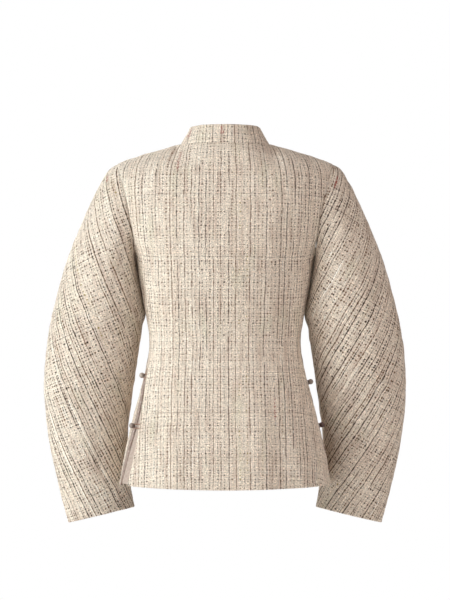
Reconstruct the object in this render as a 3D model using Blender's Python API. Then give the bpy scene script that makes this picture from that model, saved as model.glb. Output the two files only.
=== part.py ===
# A cropped tweed jacket, worn and hollow: stand collar, curved two-piece sleeves and
# side vents that ball buttons hold closed. The front faces -Y, the wearer's left is +X,
# and the origin is the middle of the neck seam. Tables and sizes are in millimetres and
# degrees; points become metres when a mesh is made.
import math

import bmesh
import bpy
import numpy as np
from mathutils import Vector

MM = 0.001
LEFT = 1
RIGHT = -1
BACK = 1
FRONT = -1

# Cloth and seams
WALL = 2.0
UNDERLAP_WALL = 1.2
SEAM_GAP = 0.35
SHOULDER_TRIM = 0.28
SEAT_GAP = 0.6

# Body rings: 2 would be an ellipse, more is squarer
SQUARENESS = 2.3
SIDE_LINE_Y = -2.0

# Rings of the body from the hem up to the underarm. The vent columns give where the
# back panel ends, as an angle from the middle of the back, and how far on the front starts.
RING_COLUMNS = ("side_z", "back_z", "front_z", "half_width", "back_y", "front_y",
                "edge_left", "gap_left", "edge_right", "gap_right")
RINGS = (
    (-580.0, -587.5, -586.5, 179.5, 118.0, -128.0, 63.5, 32.0, 86.0, 8.0),
    (-529.0, -532.0, -532.0, 171.0, 110.0, -122.0, 61.0, 21.0, 85.0, 6.0),
    (-467.0, -467.0, -467.0, 156.5, 98.0, -114.0, 63.0, 7.0, 84.5, 3.6),
    (-417.0, -417.0, -417.0, 143.0, 89.0, -108.0, 70.0, 3.0, 85.5, 2.2),
    (-376.0, -376.0, -376.0, 133.0, 83.0, -104.0, 78.0, 1.2, 88.0, 1.0),
    (-345.0, -345.0, -345.0, 128.5, 81.0, -104.0, 88.0, SEAM_GAP, 90.0, SEAM_GAP),
    (-314.0, -314.0, -314.0, 131.0, 83.0, -108.0, 90.0, SEAM_GAP, 90.0, SEAM_GAP),
    (-280.0, -280.0, -280.0, 137.0, 88.0, -116.0, 90.0, SEAM_GAP, 90.0, SEAM_GAP),
    (-233.0, -233.0, -233.0, 146.0, 96.0, -125.0, 90.0, SEAM_GAP, 90.0, SEAM_GAP),
    (-196.0, -196.0, -196.0, 152.5, 102.0, -124.0, 90.0, SEAM_GAP, 90.0, SEAM_GAP),
)

# Soft flutes falling from the waist to the hem, ridges where the depth is positive and
# troughs where it is negative: the angle and width on the ring, the depth at the hem, and
# the ring at which each one starts
FLUTES = (
    (LEFT, 17.0, 7.0, -2.0, 5.0),
    (LEFT, 27.5, 8.0, 3.0, 5.5),
    (LEFT, 138.0, 9.0, 3.0, 4.5),
    (LEFT, 156.0, 8.0, -2.0, 4.0),
    (RIGHT, 20.0, 7.5, 2.5, 5.5),
    (RIGHT, 32.5, 7.0, -2.5, 5.0),
    (RIGHT, 46.0, 8.0, 3.0, 4.0),
    (RIGHT, 133.0, 9.0, 3.5, 4.5),
    (RIGHT, 152.0, 8.0, -2.0, 5.0),
)

# Sections between the two armholes, from just above the underarm to the yoke line. Each
# one ends on the armhole at the angle given, 180 under the arm and 0 at the shoulder tip.
YOKE_COLUMNS = ("armhole_angle", "back_z", "back_y", "front_z", "front_y")
YOKE = (
    (159.0, -188.0, 103.0, -190.0, -123.0),
    (138.0, -170.0, 104.5, -176.0, -120.0),
    (117.0, -146.0, 105.0, -158.0, -115.0),
    (96.0, -118.0, 103.0, -138.0, -109.0),
    (75.0, -90.0, 98.5, -119.0, -102.5),
    (54.0, -63.0, 91.0, -102.0, -96.0),
)

# Neck edge and shoulder seam
NECK_HALF_WIDTH = 76.5
NECK_BACK_Y = 60.0
NECK_FRONT_Y = -74.0
NECK_FRONT_DROP = 50.0
NECK_SIDE_DROP = 2.0
SHOULDER_TIP = (184.0, SIDE_LINE_Y, -36.0)
SHOULDER_ROUNDING = 4.0
NECK_COLUMNS = 6
CORNER_COLUMNS = 3
NECK_LEAN = 0.6
NECK_RISE = 0.8
NECK_SIDE_RISE = 0.45
TANGENT_STEP = 0.25

# Armhole, seen from behind a bowed line from the shoulder tip to the underarm
UNDERARM = (152.5, SIDE_LINE_Y, -196.0)
ARMHOLE_BACK_DEPTH = 58.0
ARMHOLE_FRONT_DEPTH = 52.0
ARMHOLE_BOW = 5.0

# Rings of a sleeve, from the armhole to the cuff: where its outer and inner curves pass,
# the middle of its depth, and how far it reaches to the back and to the front of that
SLEEVE_COLUMNS = ("outer_x", "outer_z", "inner_x", "inner_z", "middle_y",
                  "back_depth", "front_depth", "bow")
SLEEVE = (
    (SHOULDER_TIP[0], SHOULDER_TIP[2], UNDERARM[0], UNDERARM[2], SIDE_LINE_Y,
     ARMHOLE_BACK_DEPTH, ARMHOLE_FRONT_DEPTH, ARMHOLE_BOW),
    (197.5, -46.0, 153.4, -207.0, -3.0, 60.0, 56.0, 4.0),
    (212.0, -69.0, 150.6, -219.0, -4.0, 63.0, 60.0, 2.0),
    (226.5, -98.0, 148.0, -232.0, -6.0, 65.0, 64.0, 0.0),
    (244.0, -137.0, 145.2, -248.0, -8.0, 67.0, 67.0, 0.0),
    (264.0, -186.0, 141.9, -267.0, -11.0, 68.0, 69.0, 0.0),
    (281.0, -239.0, 139.6, -290.0, -15.0, 68.0, 70.0, 0.0),
    (295.0, -294.0, 141.0, -315.0, -21.0, 67.0, 69.0, 0.0),
    (304.0, -347.0, 146.0, -349.0, -28.0, 65.0, 67.0, 0.0),
    (308.5, -400.0, 153.0, -394.0, -37.0, 62.0, 64.0, 0.0),
    (307.0, -452.0, 159.5, -442.0, -47.0, 58.0, 60.0, 0.0),
    (300.5, -507.0, 165.5, -490.0, -58.0, 54.0, 56.0, 0.0),
    (290.5, -558.0, 166.5, -533.0, -69.0, 50.0, 52.0, 0.0),
    (279.5, -605.0, 161.5, -580.0, -80.0, 46.0, 48.0, 0.0),
    (268.0, -648.0, 155.0, -621.0, -89.0, 43.0, 45.0, 0.0),
)
SLEEVE_START = 0.05

# Collar, standing on the neck edge and leaning in
COLLAR_TOP_HALF_WIDTH = 59.0
COLLAR_TOP_BACK_Y = 48.0
COLLAR_TOP_FRONT_Y = -58.0
COLLAR_TOP_BACK_Z = 31.5
COLLAR_TOP_SIDE_Z = 25.0
COLLAR_TOP_FRONT_Z = -17.0
COLLAR_BACK_POWER = 0.6
COLLAR_HOLLOW = 0.8

# Underlap behind each side vent
UNDERLAP_HEM_LEVEL = 0.06
UNDERLAP_UNDER_EDGE = 11.0
UNDERLAP_DROP = 1.0

# Ball buttons and their loops
BALL_RADIUS = 4.7
SHANK_RADIUS = 1.5
SHANK_HEIGHT = 1.3
BUTTON_INSET = 5.6
LOOP_CORD_RADIUS = 0.8
LOOP_RING_RADIUS = 2.9
LOOP_SEWN_LENGTH = 4.0
LEVEL_STEP = 0.1
SIDE_BUTTONS = (
    (LEFT, 1, -396.0),
    (LEFT, 2, -481.0),
    (RIGHT, 1, -407.0),
    (RIGHT, 2, -480.0),
)
FRONT_BUTTON_HEIGHTS = (-82.0, -170.0, -258.0, -346.0, -434.0)

# Mesh density
HALF_COLUMNS = 12
LOWER_ROWS = 13
YOKE_ROWS = 8
TOP_ROWS = 6
SLEEVE_ROWS = 16
SLEEVE_COLUMNS_EACH = 10
COLLAR_COLUMNS = 24
COLLAR_ROWS = 4
UNDERLAP_COLUMNS = 5
UNDERLAP_ROWS = 7
BUTTON_SIDES = 10
BALL_ARCS = 6
LOOP_STEP_ANGLE = 30
CLOTH_SHARP_ANGLE = 50.0
BUTTON_SHARP_ANGLE = 60.0

# Surface finish: colour, roughness
FINISHES = {
    "tweed": ((0.68, 0.60, 0.49, 1.0), 0.92),
    "tweed_facing": ((0.56, 0.46, 0.40, 1.0), 0.85),
    "button": ((0.26, 0.22, 0.19, 1.0), 0.38),
    "loop_cord": ((0.33, 0.24, 0.18, 1.0), 0.7),
}


def side_name(side):
    return "left" if side == LEFT else "right"


def column(table, names, name):
    return np.array([row[names.index(name)] for row in table])


def smooth(values, position):
    """Value at a fractional row of a table, on a curve through the rows."""
    last = len(values) - 1
    position = min(max(position, 0.0), float(last))
    row = min(int(position), last - 1)
    part = position - row
    before = values[max(row - 1, 0)]
    start = values[row]
    end = values[row + 1]
    after = values[min(row + 2, last)]
    start_slope = (end - before) / (2.0 if row > 0 else 1.0)
    end_slope = (after - start) / (2.0 if row + 2 <= last else 1.0)
    return ((2 * part**3 - 3 * part**2 + 1) * start + (part**3 - 2 * part**2 + part) * start_slope
            + (3 * part**2 - 2 * part**3) * end + (part**3 - part**2) * end_slope)


def ease(part):
    return part * part * (3.0 - 2.0 * part)


UNDERARM_LEVEL = len(RINGS) - 1
YOKE_LEVEL = UNDERARM_LEVEL + len(YOKE)
RING = {name: column(RINGS, RING_COLUMNS, name) for name in RING_COLUMNS}
CENTRE = {name: np.concatenate([RING[name], column(YOKE, YOKE_COLUMNS, name)])
          for name in ("back_z", "back_y", "front_z", "front_y")}
ARMHOLE_ANGLES = np.concatenate([[180.0], column(YOKE, YOKE_COLUMNS, "armhole_angle")])
SLEEVE_RING = {name: column(SLEEVE, SLEEVE_COLUMNS, name) for name in SLEEVE_COLUMNS}


def ring_radius(angle):
    """How far a squared ring stands out from a circle at this angle."""
    squared = abs(math.sin(angle)) ** SQUARENESS + abs(math.cos(angle)) ** SQUARENESS
    return squared ** (-1.0 / SQUARENESS)


def armhole_point(side, face, angle):
    """Point of the armhole edge: 0 at the shoulder tip, 180 under the arm."""
    turn = math.radians(angle)
    depth = ARMHOLE_BACK_DEPTH if face == BACK else ARMHOLE_FRONT_DEPTH
    middle_x = (SHOULDER_TIP[0] + UNDERARM[0]) / 2
    middle_z = (SHOULDER_TIP[2] + UNDERARM[2]) / 2
    x = middle_x + (SHOULDER_TIP[0] - middle_x) * math.cos(turn) - ARMHOLE_BOW * math.sin(turn) ** 2
    z = middle_z + (SHOULDER_TIP[2] - middle_z) * math.cos(turn)
    y = SIDE_LINE_Y + face * depth * math.sin(turn)
    return np.array([side * x, y, z])


def flute_rise(side, level, angle):
    """How far the flutes carry the cloth out at a ring point."""
    rise = 0.0
    for flute_side, flute_angle, width, depth, top_level in FLUTES:
        if flute_side == side and level < top_level:
            reach = math.exp(-((angle - flute_angle) / width) ** 2)
            rise += depth * ease(1.0 - max(level, 0.0) / top_level) * reach
    return rise


def body_point(side, level, angle):
    """Point of a body ring below the underarm: angle 0 at the back, 180 at the front."""
    turn = math.radians(angle)
    back = math.cos(turn) > 0
    radius = ring_radius(turn)
    edge = smooth(CENTRE["back_y"] if back else CENTRE["front_y"], level)
    rise = flute_rise(side, level, angle)
    x = side * (smooth(RING["half_width"], level) * radius + rise) * math.sin(turn)
    y = SIDE_LINE_Y + (abs(edge - SIDE_LINE_Y) * radius + rise) * math.cos(turn)
    side_z = smooth(RING["side_z"], level)
    centre_z = smooth(CENTRE["back_z"] if back else CENTRE["front_z"], level)
    z = side_z + (centre_z - side_z) * math.cos(turn) ** 2
    return np.array([x, y, z])


def body_normal(side, level, angle):
    """Outward direction of the body's surface at a ring point."""
    across = body_point(side, level, angle + 0.5) - body_point(side, level, angle - 0.5)
    along = body_point(side, level + 0.05, angle) - body_point(side, level - 0.05, angle)
    normal = np.cross(along, across) * side
    return normal / np.linalg.norm(normal)


def arc_angle(side, level, angle, distance):
    """The angle that lies a distance further round the ring."""
    step = body_point(side, level, angle + 0.5) - body_point(side, level, angle - 0.5)
    return angle + distance / np.linalg.norm(step)


def vent_edges(side, level):
    """Angles where the back panel ends and where the front panel starts."""
    name = side_name(side)
    back_edge = smooth(RING["edge_" + name], level)
    gap = max(smooth(RING["gap_" + name], level), SEAM_GAP)
    middle = arc_angle(side, level, back_edge, gap / 2)
    return back_edge, arc_angle(side, level, middle, gap / 2)


def level_at_height(side, height, angle):
    """Fractional ring whose point at this angle has the height."""
    low, high = 0.0, float(UNDERARM_LEVEL)
    while high - low > 1e-6:
        middle = (low + high) / 2
        if body_point(side, middle, angle)[2] < height:
            low = middle
        else:
            high = middle
    return low


def lower_row(side, face, level, steps):
    """Row of a panel below the underarm, from its middle to its side."""
    back_edge, front_edge = vent_edges(side, level)
    if face == BACK:
        return [body_point(side, level, back_edge * step / steps) for step in range(steps + 1)]
    return [body_point(side, level, 180.0 + (front_edge - 180.0) * step / steps)
            for step in range(steps + 1)]


def yoke_row(side, face, level, steps):
    """Row between the middle of a panel and its armhole."""
    end = armhole_point(side, face, smooth(ARMHOLE_ANGLES, level - UNDERARM_LEVEL))
    name = "back" if face == BACK else "front"
    centre_y = smooth(CENTRE[name + "_y"], level)
    centre_z = smooth(CENTRE[name + "_z"], level)
    depth = centre_y - SIDE_LINE_Y
    depth_part = (end[1] - SIDE_LINE_Y) / depth
    width_part = (1.0 - depth_part**SQUARENESS) ** (1.0 / SQUARENESS)
    half_width = end[0] / width_part
    end_turn = math.atan2(width_part, depth_part)
    row = []
    for step in range(steps + 1):
        turn = end_turn * step / steps
        radius = ring_radius(turn)
        x = half_width * radius * math.sin(turn)
        y = SIDE_LINE_Y + depth * radius * math.cos(turn)
        z = centre_z + (end[2] - centre_z) * ease(step / steps)
        row.append(np.array([x, y, z]))
    return row


def neck_point(side, face, turn):
    """Point of the neck edge: turn 0 at the middle of the panel, 90 at the shoulder."""
    part = math.cos(math.radians(turn))
    x = side * NECK_HALF_WIDTH * math.sin(math.radians(turn))
    if face == BACK:
        return np.array([x, NECK_BACK_Y * part, NECK_SIDE_DROP * (part - 1.0)])
    fall = NECK_SIDE_DROP + (NECK_FRONT_DROP - NECK_SIDE_DROP) * part
    return np.array([x, NECK_FRONT_Y * part, -fall])


def shoulder_point(side, part):
    """Point of the shoulder seam, from the neck edge to the shoulder tip."""
    start = np.array([side * NECK_HALF_WIDTH, 0.0, -NECK_SIDE_DROP])
    end = np.array([side * SHOULDER_TIP[0], SHOULDER_TIP[1], SHOULDER_TIP[2] + SHOULDER_ROUNDING])
    point = start + (end - start) * part
    point[2] -= SHOULDER_ROUNDING * part**4
    return point


def top_edge(side, face, steps):
    """Neck edge and shoulder seam as one row, with the way the cloth runs into them."""
    corner = steps * NECK_COLUMNS // HALF_COLUMNS
    points, ways = [], []
    for step in range(steps + 1):
        turn = 90.0 * min(step / corner, 1.0)
        if step <= corner:
            points.append(neck_point(side, face, turn))
        else:
            points.append(shoulder_point(side, (step - corner) / (steps - corner)))
        sine, cosine = math.sin(math.radians(turn)), math.cos(math.radians(turn))
        rise = NECK_RISE + (NECK_SIDE_RISE - NECK_RISE) * sine
        neck_way = np.array([-side * NECK_LEAN * sine, -face * NECK_LEAN * cosine, rise])
        shoulder_way = np.array([0.0, -face, 0.0])
        round_corner = (step - corner - 1) / CORNER_COLUMNS + 1.0
        to_shoulder = ease(min(max(round_corner, 0.0), 1.0))
        ways.append(neck_way * (1.0 - to_shoulder) + shoulder_way * to_shoulder)
    return points, ways


def top_rows(side, face, steps, rows):
    """Rows from the yoke line up and over to the neck edge and shoulder seam."""
    yoke = yoke_row(side, face, YOKE_LEVEL, steps)
    below = yoke_row(side, face, YOKE_LEVEL - TANGENT_STEP, steps)
    points, ways = top_edge(side, face, steps)
    start_angle = ARMHOLE_ANGLES[-1]
    grid = []
    for row in range(1, rows + 1):
        part = row / rows
        line = []
        for step in range(steps + 1):
            start, end = yoke[step], points[step]
            reach = np.linalg.norm(end - start)
            rise = start - below[step]
            start_slope = rise / np.linalg.norm(rise) * reach
            end_slope = ways[step] / np.linalg.norm(ways[step]) * reach
            line.append((2 * part**3 - 3 * part**2 + 1) * start
                        + (part**3 - 2 * part**2 + part) * start_slope
                        + (3 * part**2 - 2 * part**3) * end
                        + (part**3 - part**2) * end_slope)
        miss = armhole_point(side, face, start_angle * (1.0 - part)) - line[-1]
        grid.append([point + miss * (step / steps) ** 3 for step, point in enumerate(line)])
    return grid


def half_panel(side, face):
    """Rows of one half of the back, or of one front, from the hem to the top."""
    grid = []
    for row in range(LOWER_ROWS):
        level = UNDERARM_LEVEL * row / LOWER_ROWS
        grid.append(lower_row(side, face, level, HALF_COLUMNS))
    for row in range(YOKE_ROWS + 1):
        level = UNDERARM_LEVEL + (YOKE_LEVEL - UNDERARM_LEVEL) * row / YOKE_ROWS
        grid.append(yoke_row(side, face, level, HALF_COLUMNS))
    grid += top_rows(side, face, HALF_COLUMNS, TOP_ROWS)
    return grid


def pull_back(line, gap):
    """The line with its last point drawn back by the gap."""
    step = line[-2] - line[-1]
    return line[:-1] + [line[-1] + step * gap / np.linalg.norm(step)]


def trim_shoulder(grid, gap):
    """The grid with its top row drawn back from the shoulder seam and neck edge."""
    top = [last + (below - last) * gap / np.linalg.norm(below - last)
           for below, last in zip(grid[-2], grid[-1])]
    return grid[:-1] + [top]


def make_material(name):
    colour, roughness = FINISHES[name]
    material = bpy.data.materials.get(name) or bpy.data.materials.new(name)
    material.use_nodes = True
    shader = material.node_tree.nodes["Principled BSDF"]
    shader.inputs["Base Color"].default_value = colour
    shader.inputs["Roughness"].default_value = roughness
    return material


def add_object(name, mesh, finish):
    item = bpy.data.objects.new(name, mesh)
    mesh.materials.append(make_material(finish))
    bpy.context.scene.collection.objects.link(item)
    return item


def cloth(name, grid, wall, finish, outward):
    """A closed wall of cloth whose outer face is the grid of points."""
    outer = np.array(grid)
    across = np.gradient(outer, axis=1, edge_order=2)
    along = np.gradient(outer, axis=0, edge_order=2)
    normals = np.cross(across, along)
    normals /= np.linalg.norm(normals, axis=2, keepdims=True)
    rows, columns = outer.shape[:2]
    middle = (rows // 2, columns // 2)
    facing_out = np.dot(normals[middle], outward(outer[middle])) > 0
    if not facing_out:
        normals = -normals
    inner = outer - normals * wall
    count = rows * columns
    faces = []
    for row in range(rows - 1):
        for step in range(columns - 1):
            first = row * columns + step
            face = (first, first + 1, first + columns + 1, first + columns)
            faces.append(face)
            faces.append(tuple(corner + count for corner in face[::-1]))
    border = list(range(columns))
    border += [row * columns + columns - 1 for row in range(1, rows)]
    border += [(rows - 1) * columns + step for step in range(columns - 2, -1, -1)]
    border += [row * columns for row in range(rows - 2, 0, -1)]
    for first, second in zip(border, border[1:] + border[:1]):
        faces.append((second, first, first + count, second + count))
    if not facing_out:
        faces = [face[::-1] for face in faces]
    mesh = bpy.data.meshes.new(name)
    points = np.concatenate([outer.reshape(-1, 3), inner.reshape(-1, 3)]) * MM
    mesh.from_pydata(points.tolist(), [], faces)
    mesh.update()
    mesh.shade_smooth()
    mesh.set_sharp_from_angle(angle=math.radians(CLOTH_SHARP_ANGLE))
    return add_object(name, mesh, finish)


def away_from_body(point):
    return (point[0], point[1], 0.0)


def away_from_sleeve(side):
    def outward(point):
        return (0.0, point[1] - smooth(SLEEVE_RING["middle_y"], len(SLEEVE) / 2), 0.0)
    return outward


def make_back():
    left = trim_shoulder(half_panel(LEFT, BACK), SHOULDER_TRIM)
    right = trim_shoulder(half_panel(RIGHT, BACK), SHOULDER_TRIM)
    grid = [right_row[:0:-1] + left_row for right_row, left_row in zip(right, left)]
    return cloth("back", grid, WALL, "tweed", away_from_body)


def make_front(side):
    grid = trim_shoulder(half_panel(side, FRONT), SHOULDER_TRIM)
    grid = [pull_back(row[::-1], SEAM_GAP / 2)[::-1] for row in grid]
    return cloth("front_" + side_name(side), grid, WALL, "tweed", away_from_body)


def sleeve_point(side, level, angle):
    """Point of a sleeve ring: 0 on its outer curve, 90 at the back, 180 inside."""
    ring = {name: smooth(SLEEVE_RING[name], level) for name in SLEEVE_COLUMNS}
    turn = math.radians(angle)
    middle_x = (ring["outer_x"] + ring["inner_x"]) / 2
    middle_z = (ring["outer_z"] + ring["inner_z"]) / 2
    depth = ring["back_depth"] if math.sin(turn) > 0 else ring["front_depth"]
    x = middle_x + (ring["outer_x"] - middle_x) * math.cos(turn) - ring["bow"] * math.sin(turn) ** 2
    y = ring["middle_y"] + depth * math.sin(turn)
    z = middle_z + (ring["outer_z"] - middle_z) * math.cos(turn)
    return np.array([side * x, y, z])


def make_sleeve(side, face):
    last = len(SLEEVE) - 1
    grid = []
    for row in range(SLEEVE_ROWS + 1):
        level = SLEEVE_START + (last - SLEEVE_START) * row / SLEEVE_ROWS
        line = [sleeve_point(side, level, face * 180.0 * step / SLEEVE_COLUMNS_EACH)
                for step in range(SLEEVE_COLUMNS_EACH + 1)]
        line = pull_back(line, SEAM_GAP / 2)
        grid.append(pull_back(line[::-1], SEAM_GAP / 2)[::-1])
    name = "sleeve_" + ("back_" if face == BACK else "front_") + side_name(side)
    return cloth(name, grid, WALL, "tweed", away_from_sleeve(side))


def collar_line(turn):
    """Points of the collar from the neck edge to its top, at a turn from the back."""
    side = LEFT if turn >= 0 else RIGHT
    turn = abs(turn)
    back = turn <= 90.0
    face = BACK if back else FRONT
    base = neck_point(side, face, turn if back else 180.0 - turn)
    part = abs(math.cos(math.radians(turn)))
    top_y = COLLAR_TOP_BACK_Y if back else COLLAR_TOP_FRONT_Y
    top_z = COLLAR_TOP_BACK_Z if back else COLLAR_TOP_FRONT_Z
    top_power = COLLAR_BACK_POWER if back else 1.0
    top = np.array([side * COLLAR_TOP_HALF_WIDTH * math.sin(math.radians(turn)),
                    top_y * part,
                    COLLAR_TOP_SIDE_Z + (top_z - COLLAR_TOP_SIDE_Z) * part**top_power])
    rise = (top - base) / np.linalg.norm(top - base)
    base = base + rise * SEAM_GAP
    outward = np.array([base[0], base[1], 0.0])
    outward /= np.linalg.norm(outward)
    line = []
    for row in range(COLLAR_ROWS + 1):
        step = row / COLLAR_ROWS
        line.append(base + (top - base) * step - outward * COLLAR_HOLLOW * math.sin(math.pi * step))
    return line


def make_collar():
    lines = [collar_line(-180.0 + 360.0 * step / COLLAR_COLUMNS) for step in range(COLLAR_COLUMNS + 1)]
    rows = [[line[row] for line in lines] for row in range(COLLAR_ROWS + 1)]
    rows = [pull_back(row, SEAM_GAP / 2) for row in rows]
    rows = [pull_back(row[::-1], SEAM_GAP / 2)[::-1] for row in rows]
    return cloth("collar", rows, WALL, "tweed", away_from_body)


def make_underlap(side):
    """Strip behind a vent, under the edges of the back and the front."""
    grid = []
    for row in range(UNDERLAP_ROWS + 1):
        level = max(UNDERARM_LEVEL * row / LOWER_ROWS, UNDERLAP_HEM_LEVEL)
        back_edge, front_edge = vent_edges(side, level)
        start = arc_angle(side, level, back_edge, -UNDERLAP_UNDER_EDGE)
        end = arc_angle(side, level, front_edge, UNDERLAP_UNDER_EDGE)
        line = []
        for step in range(UNDERLAP_COLUMNS + 1):
            angle = start + (end - start) * step / UNDERLAP_COLUMNS
            inward = -body_normal(side, level, angle) * (WALL + UNDERLAP_DROP)
            line.append(body_point(side, level, angle) + inward)
        grid.append(line)
    name = "vent_underlap_" + side_name(side)
    return cloth(name, grid, UNDERLAP_WALL, "tweed_facing", away_from_body)


def button_mesh():
    """A ball on its shank, turned about the local Z axis, foot at the origin."""
    reach = math.asin(SHANK_RADIUS / BALL_RADIUS)
    ball_z = SHANK_HEIGHT + BALL_RADIUS * math.cos(reach)
    profile = [(SHANK_RADIUS, 0.0)]
    for arc in range(BALL_ARCS):
        turn = reach + (math.pi - reach) * arc / BALL_ARCS
        profile.append((BALL_RADIUS * math.sin(turn), ball_z - BALL_RADIUS * math.cos(turn)))
    shape = bmesh.new()
    rings = []
    for radius, height in profile:
        ring = []
        for side in range(BUTTON_SIDES):
            turn = 2 * math.pi * side / BUTTON_SIDES
            ring.append(shape.verts.new((radius * math.cos(turn) * MM, radius * math.sin(turn) * MM,
                                         height * MM)))
        rings.append(ring)
    for lower, upper in zip(rings, rings[1:]):
        for side in range(BUTTON_SIDES):
            after = (side + 1) % BUTTON_SIDES
            shape.faces.new((lower[side], lower[after], upper[after], upper[side]))
    shape.faces.new(rings[0][::-1])
    crown = shape.verts.new((0.0, 0.0, (ball_z + BALL_RADIUS) * MM))
    for side in range(BUTTON_SIDES):
        shape.faces.new((rings[-1][side], rings[-1][(side + 1) % BUTTON_SIDES], crown))
    mesh = bpy.data.meshes.new("ball_button")
    shape.to_mesh(mesh)
    shape.free()
    mesh.shade_smooth()
    mesh.set_sharp_from_angle(angle=math.radians(BUTTON_SHARP_ANGLE))
    mesh.materials.append(make_material("button"))
    return mesh


def make_button(name, mesh, seat, normal):
    item = bpy.data.objects.new(name, mesh)
    bpy.context.scene.collection.objects.link(item)
    item.rotation_mode = "QUATERNION"
    item.rotation_quaternion = Vector((0.0, 0.0, 1.0)).rotation_difference(Vector(normal))
    item.location = (seat + normal * SEAT_GAP) * MM
    return item


def make_loop(name, place, reach):
    """Cord sewn on one panel, led across the opening and round the button's shank."""
    path = [(reach, -LOOP_RING_RADIUS), (reach / 2, -LOOP_RING_RADIUS)]
    for turn in range(-90, 91, LOOP_STEP_ANGLE):
        path.append((-LOOP_RING_RADIUS * math.cos(math.radians(turn)),
                     LOOP_RING_RADIUS * math.sin(math.radians(turn))))
    path += [(reach / 2, LOOP_RING_RADIUS), (reach, LOOP_RING_RADIUS)]
    curve = bpy.data.curves.new(name, "CURVE")
    curve.dimensions = "3D"
    curve.bevel_depth = LOOP_CORD_RADIUS * MM
    curve.bevel_resolution = 1
    curve.use_fill_caps = True
    spline = curve.splines.new("POLY")
    spline.points.add(len(path) - 1)
    for knot, (across, along) in zip(spline.points, path):
        knot.co = (*(place(across, along) * MM), 1.0)
    return add_object(name, curve, "loop_cord")


def side_place(side, level, button_angle):
    """Where the cord of a side loop lies, from distances on the cloth."""
    rise = (body_point(side, level + LEVEL_STEP, button_angle)[2]
            - body_point(side, level, button_angle)[2])

    def place(across, along):
        angle = arc_angle(side, level, button_angle, -across)
        at_level = level + LEVEL_STEP * along / rise
        outward = body_normal(side, at_level, angle) * (SEAT_GAP + LOOP_CORD_RADIUS)
        return body_point(side, at_level, angle) + outward
    return place


def make_side_closure(side, number, height, mesh):
    level = level_at_height(side, height, vent_edges(side, 2.0)[0])
    back_edge, front_edge = vent_edges(side, level)
    angle = arc_angle(side, level, front_edge, BUTTON_INSET)
    ending = side_name(side) + "_" + str(number)
    make_button("side_button_" + ending, mesh, body_point(side, level, angle),
                body_normal(side, level, angle))
    step = np.linalg.norm(body_point(side, level, angle) - body_point(side, level, back_edge))
    make_loop("side_loop_" + ending, side_place(side, level, angle), step + LOOP_SEWN_LENGTH)


def front_edge_frame(grid, height):
    """Point of the front's middle line at a height, the way up it and the way out."""
    line = [row[0] for row in grid]
    for below, above in zip(line, line[1:]):
        if below[2] <= height <= above[2]:
            break
    part = (height - below[2]) / (above[2] - below[2])
    up = (above - below) / np.linalg.norm(above - below)
    outward = np.cross(up, np.array([1.0, 0.0, 0.0]))
    outward *= -math.copysign(1.0, outward[1])
    return below + (above - below) * part, up, outward


def make_front_closure(number, height, mesh, grid):
    middle, up, outward = front_edge_frame(grid, height)
    middle = np.array([0.0, middle[1], middle[2]])
    across_way = np.array([1.0, 0.0, 0.0])
    seat = middle + across_way * BUTTON_INSET
    make_button("front_button_" + str(number), mesh, seat, outward)

    def place(across, along):
        return seat - across_way * across + up * along + outward * (SEAT_GAP + LOOP_CORD_RADIUS)
    make_loop("front_loop_" + str(number), place, BUTTON_INSET + LOOP_SEWN_LENGTH)


def build():
    for item in list(bpy.data.objects):
        bpy.data.objects.remove(item, do_unlink=True)
    make_back()
    make_collar()
    for side in (LEFT, RIGHT):
        make_front(side)
        make_underlap(side)
        for face in (BACK, FRONT):
            make_sleeve(side, face)
    mesh = button_mesh()
    for side, number, height in SIDE_BUTTONS:
        make_side_closure(side, number, height, mesh)
    grid = half_panel(LEFT, FRONT)
    for number, height in enumerate(FRONT_BUTTON_HEIGHTS, start=1):
        make_front_closure(number, height, mesh, grid)


build()
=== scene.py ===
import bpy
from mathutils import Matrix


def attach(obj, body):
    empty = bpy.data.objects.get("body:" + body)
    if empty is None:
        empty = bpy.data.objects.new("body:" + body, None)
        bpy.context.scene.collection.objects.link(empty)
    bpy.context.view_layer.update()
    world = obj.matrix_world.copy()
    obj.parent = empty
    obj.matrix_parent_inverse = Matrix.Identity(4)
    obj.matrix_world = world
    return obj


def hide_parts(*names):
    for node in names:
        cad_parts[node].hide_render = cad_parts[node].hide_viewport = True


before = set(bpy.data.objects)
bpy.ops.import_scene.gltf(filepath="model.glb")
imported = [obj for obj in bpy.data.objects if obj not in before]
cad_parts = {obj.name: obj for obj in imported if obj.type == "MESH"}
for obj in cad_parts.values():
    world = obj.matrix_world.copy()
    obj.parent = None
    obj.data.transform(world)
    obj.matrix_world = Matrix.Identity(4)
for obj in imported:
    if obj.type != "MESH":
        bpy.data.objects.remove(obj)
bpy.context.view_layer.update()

import math

import bpy
import numpy as np
from mathutils import Vector

# A cropped tweed jacket, worn and hollow. Its front faces -Y, the wearer's left is +X and the
# origin is the middle of the neck seam. Forms are worked out in millimetres and degrees, and
# points become metres when a mesh is made.
millimetre = 0.001
leftSide, rightSide = 1, -1
backFace, frontFace = 1, -1
sideNames = {leftSide: "left", rightSide: "right"}
faceNames = {backFace: "back", frontFace: "front"}
seamRoom = 0.08  # between two panels at a seam
openRoom = 0.35  # between two panels whose edges only meet
wallThickness = 2.0
sharpAngle = math.radians(60.0)
print("frame loaded:", len(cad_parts), "nodes")

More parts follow.
